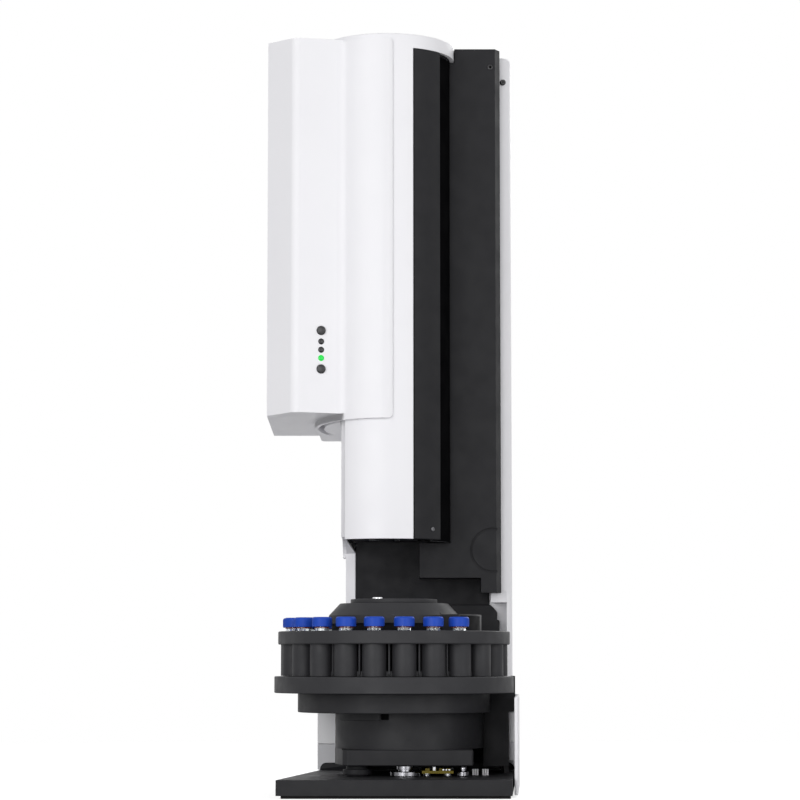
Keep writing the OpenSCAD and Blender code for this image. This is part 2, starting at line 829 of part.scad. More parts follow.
module control_board() {
  color("darkgoldenrod") {
    box([board_left, board_front, board_z], [board_right, board_front + 44, board_z + board_t]);
    for (i = [0 : 3])
      box([board_left + 2 + 4.2 * i, board_front + 3, board_z + board_t - eps],
        [board_left + 4.6 + 4.2 * i, board_front + 9, board_z + board_t + 1.4]);
  }
}

module board_standoffs() {
  color(steel) for (x = [board_left + 3, board_right - 3], y = [board_front + 14, board_front + 40])
    rod(x, y, base_top, board_z, 2);
}

// Each post under the drum foot: middle x, middle y, radius
posts = [[-22.5, drum_front + 11, 8.5], [-22.5, turret_y + 34, 8], [40, turret_y + 34, 8]];

module drum_posts() {
  color(black) for (p = posts) {
    rod(p[0], p[1], base_top, foot_bottom, p[2] - 2);
    rod(p[0], p[1], base_top + 1, base_top + 4.4, p[2]);
  }
}

// Each levelling screw: middle x, middle y, radius of its disc
jacks = [[5.8, drum_front + 10, 8.2], [42, drum_front + 8, 3.6]];

module levelling_screws() {
  color(steel) for (p = jacks) {
    rod(p[0], p[1], base_top, base_top + 3.4, p[2]);
    rod(p[0], p[1], base_top + 3.4 - eps, foot_bottom, p[2] * 0.58);
  }
}

// Turret

// The rim, with a bore over each vial and a gap where the open positions have segments of their own
module turret_rim() {
  color(black) difference() {
    at_turret() tube(well_top, rim_top, shaft_r + seat_fit, rim_r);
    at_turret() sector(well_top - 1, rim_top + 1, segment_r, rim_r + 1, filled_to_a, open_to_a);
    at_wells(last_vial, first_vial) rod(0, 0, well_top - eps, rim_top + eps, bore_r);
  }
}

rib_half_t = 0.6;
rib_out = 0.8;
rib_in = 2;

// The wells of the vials on their part of the floor ring, with ribs between
module filled_wells() {
  color(black) difference() {
    union() {
      at_turret() sector(well_bottom, well_bottom + well_floor, floor_in_r, vial_ring_r,
        vial_a(last_vial - 0.5), filled_to_a);
      at_wells(last_vial, first_vial) rod(0, 0, well_bottom, well_top, well_r);
      for (k = [last_vial : first_vial - 1]) at_turret() rotate([0, 0, vial_a(k + 0.5)])
        box([-rib_half_t, -vial_ring_r - rib_out, well_bottom + 1],
          [rib_half_t, -vial_ring_r + rib_in, well_top]);
    }
    at_wells(last_vial, first_vial) rod(0, 0, well_bottom + well_floor, well_top + eps, bore_r);
  }
}

// One open position: a well on its part of the floor ring, under its own segment of the rim
module open_well(k) {
  from_a = vial_a(k - 0.5) + segment_a;
  to_a = vial_a(k + 0.5) - segment_a;
  bore_bottom = k == pass_well ? well_bottom - eps : well_bottom + well_floor;
  difference() {
    union() {
      at_turret() {
        sector(well_bottom, well_bottom + well_floor, floor_in_r, vial_ring_r, from_a, to_a);
        sector(well_top, rim_top, segment_r + seat_fit, rim_r, from_a, to_a);
      }
      at_wells(k, k) rod(0, 0, well_bottom, well_top + 1, well_r);
    }
    at_wells(k, k) rod(0, 0, bore_bottom, rim_top + eps, bore_r);
  }
}

module open_wells() {
  color(black) for (k = [first_vial + 1 : pass_well]) open_well(k);
}

module hub_dome() {
  color(black) at_turret() {
    translate([0, 0, rim_top]) rotate_extrude()
      polygon([[shaft_r + 2, 0], [dome_wall_r - 2, 0], [dome_wall_r - 2, dome_band_h],
        [dome_wall_r, dome_band_h], [dome_wall_r, dome_wall_h], [dome_top_r, dome_h],
        [shaft_r + 2, dome_h]]);
    difference() {
      sector(rim_top, rim_top + shoulder_h, dome_wall_r - 3, shoulder_out, filled_to_a, open_to_a);
      rod(0, 0, rim_top - 1, rim_top + dome_h, dome_wall_r - 1);
    }
  }
}

module dome_cap() {
  color(black) at_turret() rod(0, 0, rim_top + dome_h, rim_top + dome_h + dome_cap_h, dome_cap_r);
}

module dome_screw() {
  color(steel) translate([-10, turret_y - 14, 0])
    rod(0, 0, rim_top + dome_h + dome_cap_h, rim_top + dome_h + dome_cap_h + 1.5, 3.2);
}

shaft_flange_r = 30;
shaft_flange_h = 6;

module turret_shaft() {
  color(steel) at_turret() {
    rod(0, 0, foot_top - bearing_h + pass_gap, rim_top + dome_h - 1, shaft_r);
    rod(0, 0, well_top - shaft_flange_h, well_top, shaft_flange_r);
  }
}

module turret_pulley() {
  color("tan") at_turret() tube(pulley_z, pulley_z + pulley_h, shaft_r + seat_fit, big_pulley_r);
}

vial_z = well_bottom + well_floor + pass_gap;
neck_r = cap_r - 1.9;
neck_z = vial_h - cap_h - 2.2;
glass_t = 0.9;

module vials() {
  color("lightblue") at_wells(last_vial, first_vial) translate([0, 0, vial_z]) rotate_extrude()
    polygon([[0, 0], [vial_r, 0], [vial_r, neck_z - 2.5], [neck_r, neck_z], [neck_r, vial_h],
      [neck_r - glass_t, vial_h], [neck_r - glass_t, neck_z], [vial_r - glass_t, neck_z - 3.4],
      [vial_r - glass_t, glass_t], [0, glass_t]]);
}

cap_z = vial_z + vial_h + 0.8 - cap_h;
septum_t = 0.6;

module vial_caps() {
  color("royalblue") at_wells(last_vial, first_vial) difference() {
    rod(0, 0, cap_z, cap_z + cap_h, cap_r);
    rod(0, 0, cap_z - eps, vial_z + vial_h + septum_t, neck_r + run_fit);
    rod(0, 0, cap_z, cap_z + cap_h + eps, 2.6);
  }
}

module vial_septa() {
  color("firebrick") at_wells(last_vial, first_vial)
    rod(0, 0, vial_z + vial_h, vial_z + vial_h + septum_t, neck_r);
}

// Door

module door_shell() {
  color(white) at_door() sector(door_bottom, band_bottom, door_in, door_r, door_left_a, strip_a);
}

module grip_strip() {
  color(black) at_door() sector(door_bottom, band_bottom, door_in, door_r, strip_a, door_right_a);
}

pivot_h = 6;

module door_cap() {
  color(white) at_door() {
    difference() {
      rod(0, 0, band_bottom, door_top, door_r);
      rod(0, 0, band_bottom - eps, door_top - wall, door_in);
    }
    rod(0, 0, arm_top - pivot_h, door_top - wall + eps, pivot_r);
    rod(0, 0, arm_top + pass_gap, door_top - wall + eps, pivot_r + 3);
  }
}

module door_arm() {
  mid_a = (door_left_a + strip_a) / 2;
  color(black) at_door() {
    rotate([0, 0, mid_a]) intersection() {
      box([-4, -door_in - 1, door_bottom + seam / 2], [4, 0, door_bottom + door_arm_h - seam / 2]);
      rod(0, 0, door_bottom, door_bottom + door_arm_h, door_in);
    }
    rod(0, 0, door_bottom, door_bottom + door_arm_h, 5);
    rod(0, 0, door_bottom + seam, low_arm_z + arm_h, pivot_r);
  }
}

// The fixed arms that carry the door: one from the chassis plate, one from the left wall
module hinge_arms() {
  wall_in = tower_left + wall;
  color(black) {
    difference() {
      union() {
        box([-door_left - 5, door_back, arm_top - arm_h], [-door_left + 5, plate_y, arm_top]);
        at_door() rod(0, 0, arm_top - arm_h, arm_top, 6);
      }
      at_door() rod(0, 0, arm_top - cut, arm_top + eps, pivot_r + run_fit);
    }
    difference() {
      union() {
        box([wall_in, door_back - 4.4, low_arm_z], [-door_left, door_back + 4.4, low_arm_z + arm_h]);
        at_door() rod(0, 0, low_arm_z, low_arm_z + arm_h, 5);
      }
      at_door() rod(0, 0, low_arm_z - eps, low_arm_z + cut, pivot_r + run_fit);
    }
  }
}

// Syringe drive

module at_drive(dx = 0) {
  translate([needle_x + dx, 0, 0]) children();
}

module guide_rods() {
  color(steel) for (s = [-1, 1]) at_drive(s * rod_dx)
    rod(0, rod_y, low_block_z + 2, up_block_z + up_block_h - 2, rod_r);
}

module rod_blocks() {
  color(black) difference() {
    at_drive() {
      box([-drive_half_w, rod_block_front, low_block_z], [drive_half_w, plate_y, low_block_z + low_block_h]);
      box([-drive_half_w, rod_block_front, up_block_z], [drive_half_w, plate_y, up_block_z + up_block_h]);
    }
    for (s = [-1, 1]) at_drive(s * rod_dx)
      rod(0, rod_y, low_block_z + 2, up_block_z + up_block_h - 2, rod_r + seat_fit);
    at_drive(screw_dx) rod(0, rod_y, low_block_z + 1, up_block_z + cut, screw_r + run_fit);
    at_drive(foot_rod_dx)
      box([-tongue_half_w - 2 * pass_gap, rod_block_front - 1, low_block_z - eps],
        [tongue_half_w + 2 * pass_gap, tongue_back + 2 * pass_gap, low_block_z + low_block_h + eps]);
  }
}

module carriage_motor() {
  color("dimgray") at_drive(screw_dx)
    rod(0, rod_y, drive_motor_top - drive_motor_h, drive_motor_top, drive_motor_r);
}

module carriage_screw() {
  color(steel) at_drive(screw_dx)
    rod(0, rod_y, low_block_z + 1 + pass_gap, up_block_z + up_block_h - pass_gap, screw_r);
}

saddle_w = 6;
lug_h = 4;

module carriage_block() {
  color(black) {
    difference() {
      at_drive() {
        box([-drive_half_w, block_front, block_bottom], [drive_half_w, block_back, block_top]);
        box([-saddle_w, needle_y - 1.4, latch_z], [saddle_w, block_front + eps, latch_z + latch_h]);
        for (z = [latch_z - lug_h, latch_z + latch_h])
          box([7.5, latch_y - 2.5, z], [12.5, block_front + eps, z + lug_h]);
      }
      for (s = [-1, 1]) at_drive(s * rod_dx)
        rod(0, rod_y, block_bottom - eps, block_top + eps, rod_r + run_fit);
      at_drive(screw_dx) rod(0, rod_y, block_bottom - eps, block_top + eps, screw_r + 0.4);
      at_drive() box([-slot_half_w, block_front - eps, carrier_bottom - 1],
        [slot_half_w, block_front + slot_depth, block_top + eps]);
      at_drive(foot_rod_dx)
        rod(0, foot_rod_y, block_bottom - eps, block_bottom + foot_stroke + 30, foot_rod_r + run_fit);
      at_drive() translate([0, needle_y, 0]) {
        rod(0, 0, latch_z - eps, latch_z + latch_h + eps, barrel_r + seat_fit);
        rod(0, 0, barrel_top - pass_gap, barrel_top + flange_h + pass_gap, flange_r + pass_gap);
      }
    }
    rod(latch_x, latch_y, latch_z - eps, latch_z + latch_h + eps, latch_pin_r);
  }
}

module carriage_nut() {
  color("goldenrod") at_drive(screw_dx) translate([0, rod_y, 0])
    tube(block_bottom - nut_h, block_bottom, screw_r + run_fit, screw_r + 2);
}

module plunger_motor() {
  color("dimgray") at_drive() box([-9, block_front - 1.5, block_top], [4.6, block_back, block_top + 18]);
}

drive_screw_r = 1.5;
drive_screw_y = block_front + 2;

module plunger_screw() {
  color(steel) at_drive()
    rod(0, drive_screw_y, carrier_bottom - 1 + pass_gap, block_top - pass_gap, drive_screw_r);
}

module syringe_barrel() {
  color("lightcyan") at_drive() translate([0, needle_y, 0]) {
    tube(barrel_bottom, barrel_top, plunger_r + run_fit, barrel_r);
    tube(barrel_top - eps, barrel_top + flange_h, plunger_r + run_fit, flange_r);
  }
}

plunger_r = 0.7;

module needle() {
  color(steel) at_drive() translate([0, needle_y, 0]) {
    rod(0, 0, needle_tip, hub_bottom + eps, needle_r);
    rod(0, 0, hub_bottom, barrel_bottom, hub_r);
    tube(barrel_bottom - eps, hub_bottom + hub_h, barrel_r + seat_fit, hub_r);
  }
}

button_top_r = 4;

module syringe_plunger() {
  color(steel) at_drive() translate([0, needle_y, 0]) {
    rod(0, 0, barrel_bottom + 2, carrier_bottom + 4, plunger_r);
    rod(0, 0, carrier_bottom + 4 - eps, carrier_bottom + 10, button_top_r);
  }
}

carrier_half_w = 9;
carrier_front = needle_y - 6.4;
thumb_r = 1.5;
thumb_up = 7;

module plunger_carrier() {
  carrier_top = carrier_bottom + carrier_h;
  color(black) at_drive() difference() {
    union() {
      box([-carrier_half_w, carrier_front, carrier_bottom],
        [carrier_half_w, block_front - pass_gap, carrier_top]);
      box([-slot_half_w + pass_gap, block_front - pass_gap - eps, carrier_bottom],
        [slot_half_w - pass_gap, block_front + slot_depth - pass_gap, carrier_top]);
    }
    rod(0, needle_y, carrier_bottom - eps, carrier_top + eps, button_top_r + seat_fit);
    rod(0, drive_screw_y, carrier_bottom - eps, carrier_top + eps, drive_screw_r + run_fit);
    translate([0, carrier_front - eps, carrier_bottom + thumb_up]) rotate([-90, 0, 0])
      cylinder(r = thumb_r + run_fit, h = 4);
  }
}

thumb_knob_r = 5;
thumb_knob_h = 6;

module thumb_screw() {
  color(black) at_drive() translate([0, carrier_front, carrier_bottom + thumb_up]) rotate([90, 0, 0]) {
    translate([0, 0, pass_gap]) difference() {
      cylinder(r = thumb_knob_r, h = thumb_knob_h);
      for (a = [0 : 30 : 330]) rotate([0, 0, a]) translate([thumb_knob_r + 0.5, 0, -eps])
        cylinder(r = 0.9, h = thumb_knob_h + 1, $fn = 24);
    }
    translate([0, 0, -2]) cylinder(r = thumb_r, h = 2 + pass_gap + eps);
  }
}

foot_rod_y = block_front + 2;
foot_front = needle_y - 4.9;
foot_back = rod_block_front - 2 * pass_gap;
tongue_half_w = 2.5;
tongue_back = foot_rod_y + foot_rod_r + 0.7;
tongue_left = foot_rod_dx - tongue_half_w;
tongue_right = foot_rod_dx + tongue_half_w;
foot_outline = [[-foot_half_w, foot_front], [foot_half_w, foot_front], [foot_half_w, foot_back],
  [tongue_right, foot_back], [tongue_right, tongue_back], [tongue_left, tongue_back],
  [tongue_left, foot_back], [-foot_half_w, foot_back]];

// The foot that steadies the needle: a plate with a tongue that carries its rod
module needle_foot() {
  color(black) {
    difference() {
      at_drive() translate([0, 0, foot_z]) linear_extrude(foot_plate_h) polygon(foot_outline);
      at_drive() rod(0, needle_y, foot_z - eps, foot_z + foot_plate_h + eps, needle_r + 0.5);
    }
    at_drive(foot_rod_dx) rod(0, foot_rod_y, foot_z + foot_plate_h - eps, block_bottom + 20, foot_rod_r);
  }
}

module syringe_latch() {
  color("gray") difference() {
    union() {
      box([needle_x - 7, needle_y - barrel_r - 2.3, latch_z + pass_gap],
        [latch_x, needle_y - barrel_r - pass_gap, latch_z + latch_h - pass_gap]);
      rod(latch_x, latch_y, latch_z + pass_gap, latch_z + latch_h - pass_gap, 2.4);
    }
    rod(latch_x, latch_y, latch_z, latch_z + latch_h, latch_pin_r + run_fit);
  }
}

base_plate();
rubber_feet();
right_skirt();
lower_rear_panel();
chassis_plate();
rear_cover();
side_panel();
cover_screws();
head_cover();
status_board();
dark_lamps();
lit_lamp();
upper_button();
lower_button();
base_ring();
turret_collar();
drum_housing();
drum_foot();
side_stand();
rear_guard();
turret_bearings();
turret_motor();
drive_belt();
motor_pulley();
control_board();
board_standoffs();
drum_posts();
levelling_screws();
rear_socket();
hinge_arms();
guide_rods();
rod_blocks();
carriage_motor();
carriage_screw();
turret_rim();
filled_wells();
open_wells();
hub_dome();
dome_cap();
dome_screw();
turret_shaft();
turret_pulley();
vials();
vial_caps();
vial_septa();
door_shell();
door_cap();
grip_strip();
door_arm();
carriage_block();
carriage_nut();
plunger_motor();
syringe_barrel();
needle();
plunger_carrier();
syringe_plunger();
thumb_screw();
plunger_screw();
needle_foot();
syringe_latch();
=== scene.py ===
"""Looks of a gas chromatography autosampler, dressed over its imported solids.

Every size is in millimetres until it reaches a mesh, which is in metres. The origin is
the middle of the footprint on the bench, +Z is up and the front of the base faces -Y.
"""
import logging
import math
from dataclasses import dataclass, field
from enum import Enum
from typing import Callable, Iterable, Optional, Sequence

import bmesh
import bpy
from mathutils import Matrix, Vector


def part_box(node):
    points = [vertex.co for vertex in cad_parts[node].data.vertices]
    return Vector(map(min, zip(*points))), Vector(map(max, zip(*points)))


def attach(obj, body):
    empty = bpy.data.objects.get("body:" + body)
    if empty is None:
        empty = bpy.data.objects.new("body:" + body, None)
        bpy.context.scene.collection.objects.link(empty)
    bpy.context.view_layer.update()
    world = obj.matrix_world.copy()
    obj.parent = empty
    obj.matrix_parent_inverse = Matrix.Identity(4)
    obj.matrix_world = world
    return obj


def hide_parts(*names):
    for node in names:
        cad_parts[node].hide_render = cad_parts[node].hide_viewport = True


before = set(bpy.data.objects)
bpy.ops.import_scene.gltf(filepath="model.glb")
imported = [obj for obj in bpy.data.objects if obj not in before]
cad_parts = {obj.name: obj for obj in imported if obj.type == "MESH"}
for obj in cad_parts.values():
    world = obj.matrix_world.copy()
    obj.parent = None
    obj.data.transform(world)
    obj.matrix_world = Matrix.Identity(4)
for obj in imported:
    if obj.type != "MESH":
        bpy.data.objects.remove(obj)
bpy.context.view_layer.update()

MM = 0.001
log = logging.getLogger("autosampler")

Colour = tuple[float, float, float]
Point = tuple[float, float, float]
Pair = tuple[float, float]
Verts = list[bmesh.types.BMVert]
Socket = bpy.types.NodeSocket
EdgeTest = Callable[[bmesh.types.BMEdge], bool]

ORIGIN: Point = (0.0, 0.0, 0.0)
UP: Point = (0.0, 0.0, 1.0)
BACKWARD: Point = (0.0, 1.0, 0.0)
FORWARD: Point = (0.0, -1.0, 0.0)

# Points closer than these are merged, in millimetres.
NODE_MERGE = 0.002
SPIN_MERGE = 0.0005
THREAD_MERGE = 0.01
# Faces that turn by less than this many degrees are one flat face.
FLAT_ANGLE = 0.4
# Edges that turn by more than these many degrees are rounded, on plain and on finer shapes.
CORNER = 40.0
SOFT_CORNER = 28.0


class Body(Enum):
    """The bodies that pieces ride on."""

    FRAME = "frame"
    TURRET = "turret"
    DOOR = "door"
    CARRIAGE = "carriage"
    LIFT_SCREW = "lift_screw"
    PLUNGER = "plunger"
    METERING_SCREW = "metering_screw"
    CLAMP_KNOB = "clamp_knob"
    FOOT_GUIDE = "foot_guide"
    LATCH = "latch"
    BUTTON_UPPER = "button_upper"
    BUTTON_LOWER = "button_lower"


class Brush(Enum):
    """The way the marks run on a worked metal, as stretches along x, y and z."""

    UPRIGHT = (900.0, 900.0, 14.0)
    ROUND = (40.0, 40.0, 1600.0)
    EVEN = (500.0, 500.0, 500.0)


class NodeTree:
    """A shader node tree that is built up a few nodes at a time."""

    def __init__(self, tree: bpy.types.NodeTree) -> None:
        """Take a tree to add to."""
        self.tree = tree

    def node(self, kind: str, values: Optional[dict] = None, links: Optional[dict] = None) -> bpy.types.Node:
        """Add a node.

        Args:
            kind: Its type, without the prefix that all of them have.
            values: Values for its inputs, by name or number.
            links: Sockets that feed its inputs, by name or number.

        Returns:
            The node.
        """
        made = self.tree.nodes.new("ShaderNode" + kind)
        for key, value in (values or {}).items():
            made.inputs[key].default_value = value
        for key, socket in (links or {}).items():
            self.tree.links.new(socket, made.inputs[key])
        return made

    def greatest(self, first: Socket, second: Socket) -> Socket:
        """The greater of two values.

        Args:
            first: The first value.
            second: The second value.

        Returns:
            The greater one.
        """
        made = self.node("Math", links={0: first, 1: second})
        made.operation = "MAXIMUM"
        return made.outputs[0]


class Recipe(NodeTree):
    """One material's node tree, around a principled shader."""

    def __init__(self, name: str) -> None:
        """Start a material with one principled shader.

        Args:
            name: The material's name.
        """
        self.material = bpy.data.materials.new(name)
        self.material.use_nodes = True
        super().__init__(self.material.node_tree)
        self.tree.nodes.clear()
        self.shader = self.node("BsdfPrincipled")
        self.output = self.node("OutputMaterial", links={"Surface": self.shader.outputs["BSDF"]})
        self.coords = self.node("TexCoord").outputs["Object"]

    def set(self, **values: float) -> None:
        """Set shader sockets, named with underscores for spaces.

        Args:
            values: The socket values.
        """
        for key, value in values.items():
            self.shader.inputs[key.replace("_", " ")].default_value = value

    def stretched(self, scale: Point) -> Socket:
        """Object coordinates, scaled along x, y and z."""
        return self.node("Mapping", {"Scale": scale}, {"Vector": self.coords}).outputs["Vector"]

    def noise(self, scale: float, detail: float = 2.0, coords: Optional[Socket] = None) -> Socket:
        """A noise texture.

        Args:
            scale: Noise cells to the metre.
            detail: Finer layers of the noise.
            coords: The coordinates, or None for the object's own.

        Returns:
            The noise value.
        """
        values = {"Scale": scale, "Detail": detail}
        return self.node("TexNoise", values, {"Vector": coords or self.coords}).outputs["Fac"]

    def cells(self, scale: float) -> Socket:
        """The distance to the nearest point of a texture with so many cells to the metre."""
        return self.node("TexVoronoi", {"Scale": scale}, {"Vector": self.coords}).outputs["Distance"]

    def ranged(self, value: Socket, low: float, high: float, start: float = 0.35, end: float = 0.65) -> Socket:
        """Map a value from one range to another, held at its ends.

        Args:
            value: The value to map.
            low: The result at the start.
            high: The result at the end.
            start: The value that gives low.
            end: The value that gives high.

        Returns:
            The mapped value.
        """
        values = {"From Min": start, "From Max": end, "To Min": low, "To Max": high}
        return self.node("MapRange", values, {"Value": value}).outputs["Result"]

    def mixed(self, share: Socket, first: Colour, second: Colour) -> Socket:
        """Blend two colours.

        Args:
            share: How much of the second colour shows.
            first: The first colour.
            second: The second colour.

        Returns:
            The blended colour.
        """
        made = self.node("Mix", {6: (*first, 1.0), 7: (*second, 1.0)}, {0: share})
        made.data_type = "RGBA"
        return made.outputs[2]

    def feed(self, value: Socket, socket: str) -> None:
        """Link a value to one of the shader's sockets."""
        self.tree.links.new(value, self.shader.inputs[socket])

    def bump(self, height: Socket, strength: float, depth: float) -> None:
        """Raise the surface by a height.

        Args:
            height: The height, from 0 to 1.
            strength: The share of the bump that shows.
            depth: The depth of the bump in millimetres.
        """
        made = self.node("Bump", {"Strength": strength, "Distance": depth * MM}, {"Height": height})
        self.feed(made.outputs["Normal"], "Normal")


@dataclass(frozen=True)
class Finish:
    """A finish that pieces share. The subclasses say how it looks."""

    name: str
    slot: str
    colour: Colour
    roughness: float
    tint: Colour = (0.0, 0.0, 0.0)

    def paint(self, recipe: Recipe) -> None:
        """Fill in the material's nodes."""
        raise NotImplementedError

    def material(self) -> bpy.types.Material:
        """The finish's material, made once.

        Returns:
            The material.
        """
        found = bpy.data.materials.get(self.name)
        if found is not None:
            return found
        recipe = Recipe(self.name)
        self.paint(recipe)
        return recipe.material


@dataclass(frozen=True)
class Skin(Finish):
    """A skin with clouds of a second colour, an uneven sheen and a grain in millimetres."""

    gloss: float = 0.5
    spread: float = 0.05
    clouds: Pair = (14.0, 4.0)
    span: Pair = (0.35, 0.65)
    sheen: Pair = (85.0, 6.0)
    grain: float = 0.45
    detail: float = 3.0
    strength: float = 0.35
    depth: float = 0.03

    def paint(self, recipe: Recipe) -> None:
        """Fill in the material's nodes."""
        share = recipe.ranged(recipe.noise(*self.clouds), 0.0, 1.0, *self.span)
        recipe.feed(recipe.mixed(share, self.colour, self.tint), "Base Color")
        low, high = self.roughness - self.spread, self.roughness + self.spread
        recipe.feed(recipe.ranged(recipe.noise(*self.sheen), low, high), "Roughness")
        recipe.set(Specular_IOR_Level=self.gloss)
        recipe.bump(recipe.noise(1.0 / MM / self.grain, self.detail), self.strength, self.depth)


@dataclass(frozen=True)
class MouldedPlastic(Skin):
    """Moulded plastic with a fine spark-eroded grain and faint handling marks."""

    span: Pair = (0.3, 0.7)


@dataclass(frozen=True)
class PowderCoat(Skin):
    """Powder-coated metal with the soft ripple of a baked coat."""

    spread: float = 0.07
    clouds: Pair = (30.0, 5.0)
    sheen: Pair = (120.0, 4.0)
    grain: float = 1000.0 / 900.0
    detail: float = 1.0
    strength: float = 0.3
    depth: float = 0.05


@dataclass(frozen=True)
class RubberSkin(Skin):
    """Matt rubber with a dusty, fine-pored skin."""

    gloss: float = 0.3
    spread: float = 0.06
    clouds: Pair = (60.0, 6.0)
    sheen: Pair = (200.0, 2.0)
    grain: float = 1000.0 / 1500.0
    detail: float = 2.0
    strength: float = 0.4
    depth: float = 0.04


@dataclass(frozen=True)
class WorkedMetal(Finish):
    """Bare metal with the marks of grinding, turning or polishing."""

    brush: Brush = Brush.UPRIGHT
    marks: float = 0.12
    detail: float = 3.0
    strength: float = 0.12
    depth: float = 0.01

    def paint(self, recipe: Recipe) -> None:
        """Fill in the material's nodes."""
        grain = recipe.noise(1.0, self.detail, recipe.stretched(self.brush.value))
        recipe.feed(recipe.mixed(recipe.ranged(grain, 0.0, 1.0), self.colour, self.tint), "Base Color")
        recipe.feed(recipe.ranged(grain, self.roughness, self.roughness + self.marks), "Roughness")
        recipe.set(Metallic=1.0)
        recipe.bump(grain, self.strength, self.depth)


@dataclass(frozen=True)
class ClearGlass(Finish):
    """Drawn glass, with the faint waviness of the tube."""

    tint: Colour = (0.97, 0.99, 1.0)
    draw: Point = (120.0, 120.0, 25.0)
    spread: float = 0.03

    def paint(self, recipe: Recipe) -> None:
        """Fill in the material's nodes."""
        wave = recipe.noise(1.0, 1.0, recipe.stretched(self.draw))
        recipe.feed(recipe.mixed(recipe.ranged(wave, 0.0, 1.0), self.colour, self.tint), "Base Color")
        recipe.feed(recipe.ranged(wave, self.roughness, self.roughness + self.spread), "Roughness")
        recipe.set(IOR=1.5, Transmission_Weight=0.92)


@dataclass(frozen=True)
class LampLens(Finish):
    """A moulded lens with fine facets, lit or dark."""

    glow: float = 0.0
    facets: float = 2200.0
    span: Pair = (0.1, 0.7)
    dim: float = 0.55
    spread: float = 0.12
    strength: float = 0.15
    depth: float = 0.05

    def paint(self, recipe: Recipe) -> None:
        """Fill in the material's nodes."""
        facet = recipe.cells(self.facets)
        dim = tuple(self.dim * c for c in self.colour)
        recipe.feed(recipe.mixed(recipe.ranged(facet, 0.0, 1.0, *self.span), self.colour, dim), "Base Color")
        high = self.roughness + self.spread
        recipe.feed(recipe.ranged(facet, self.roughness, high, *self.span), "Roughness")
        recipe.bump(facet, self.strength, self.depth)
        if self.glow > 0.0:
            recipe.shader.inputs["Emission Color"].default_value = (*self.colour, 1.0)
            recipe.set(Emission_Strength=self.glow)


@dataclass(frozen=True)
class SolderMask(Finish):
    """A circuit board's lacquer, with tracks and pads showing through."""

    copper: Colour = (0.6, 0.45, 0.12)
    tracks: float = 260.0
    pads: float = 420.0
    pad_span: Pair = (0.12, 0.2)
    sheen: float = 300.0
    spread: float = 0.08
    gloss: float = 0.2
    strength: float = 0.4
    depth: float = 0.05

    def paint(self, recipe: Recipe) -> None:
        """Fill in the material's nodes."""
        values = {"Scale": self.tracks, "Mortar Size": 0.03, "Mortar Smooth": 0.1}
        tracks = recipe.node("TexBrick", values, {"Vector": recipe.coords}).outputs["Fac"]
        metal = recipe.greatest(tracks, recipe.ranged(recipe.cells(self.pads), 1.0, 0.0, *self.pad_span))
        recipe.feed(recipe.mixed(metal, self.colour, self.copper), "Base Color")
        low, high = self.roughness - self.spread, self.roughness + self.spread
        recipe.feed(recipe.ranged(recipe.noise(self.sheen), low, high), "Roughness")
        recipe.set(Specular_IOR_Level=self.gloss)
        recipe.bump(metal, self.strength, self.depth)


WHITE_SHELL = MouldedPlastic("white_shell_grain", "white_shell", (0.874, 0.870, 0.898), 0.42,
                             tint=(0.854, 0.850, 0.880), grain=0.5, depth=0.022)
PALE_SHELL = MouldedPlastic("pale_shell_grain", "grey_shell", (0.89, 0.89, 0.91), 0.45,
                            tint=(0.87, 0.87, 0.89), grain=0.5, depth=0.022)
GREY_SHELL = MouldedPlastic("grey_shell_grain", "grey_shell", (0.66, 0.66, 0.685), 0.45,
                            tint=(0.62, 0.62, 0.645), grain=0.5, depth=0.022)
BLACK_SHELL = MouldedPlastic("black_shell_grain", "black_shell", (0.0118, 0.0118, 0.0138), 0.56,
                             tint=(0.0098, 0.0098, 0.0116), grain=0.4, depth=0.03, spread=0.06, gloss=0.2)
TURRET_BLACK = MouldedPlastic("turret_black_grain", "black_shell", (0.025, 0.025, 0.028), 0.56,
                              tint=(0.021, 0.021, 0.024), grain=0.55, depth=0.04, spread=0.06, gloss=0.3)
DRUM_BLACK = MouldedPlastic("drum_black_grain", "black_shell", (0.0175, 0.0175, 0.0200), 0.54,
                            tint=(0.0150, 0.0150, 0.0172), grain=0.5, depth=0.03, spread=0.06, gloss=0.26)
# Painted shade: a near-black for the bands where the dome's groove and the far side of its shoulder fall into
# shade.
BAND_SHADE_BLACK = RubberSkin("painted_band_shade", "black_shell", (0.0075, 0.0075, 0.0085), 0.7,
                        tint=(0.0095, 0.0095, 0.0105), gloss=0.1)
# Painted shade: a matt near-black laid where the hollow beside the door, the gaps behind the wells and the
# notch by the drum tab fall into shade.
SHADE_BLACK = RubberSkin("painted_shade_black", "black_shell", (0.0035, 0.0035, 0.004), 0.9,
                          tint=(0.0055, 0.0055, 0.006), gloss=0.0)
SOCKET_BLACK = MouldedPlastic("socket_black_grain", "black_shell", (0.018, 0.018, 0.019), 0.38,
                              tint=(0.014, 0.014, 0.015), grain=0.35)
BUTTON_BLACK = MouldedPlastic("button_black_grain", "black_button", (0.020, 0.020, 0.022), 0.34,
                              tint=(0.016, 0.016, 0.018), grain=0.3, depth=0.02)
CAP_BLUE = MouldedPlastic("cap_blue_grain", "cap_blue", (0.011, 0.070, 0.50), 0.5,
                          tint=(0.009, 0.059, 0.43), grain=0.35, depth=0.02, gloss=0.25)
BLACK_COAT = PowderCoat("black_powder_coat", "black_metal", (0.0118, 0.0118, 0.0138), 0.56,
                        tint=(0.0098, 0.0098, 0.0116), gloss=0.18)
BASE_COAT = PowderCoat("base_powder_coat", "black_metal", (0.0165, 0.0165, 0.0188), 0.5,
                       tint=(0.0140, 0.0140, 0.0162), gloss=0.25)
MOTOR_GREY = PowderCoat("motor_grey_coat", "motor_grey", (0.10, 0.10, 0.11), 0.4, tint=(0.08, 0.08, 0.09))
FOOT_RUBBER = RubberSkin("foot_rubber_skin", "rubber", (0.016, 0.016, 0.016), 0.8, tint=(0.024, 0.023, 0.022))
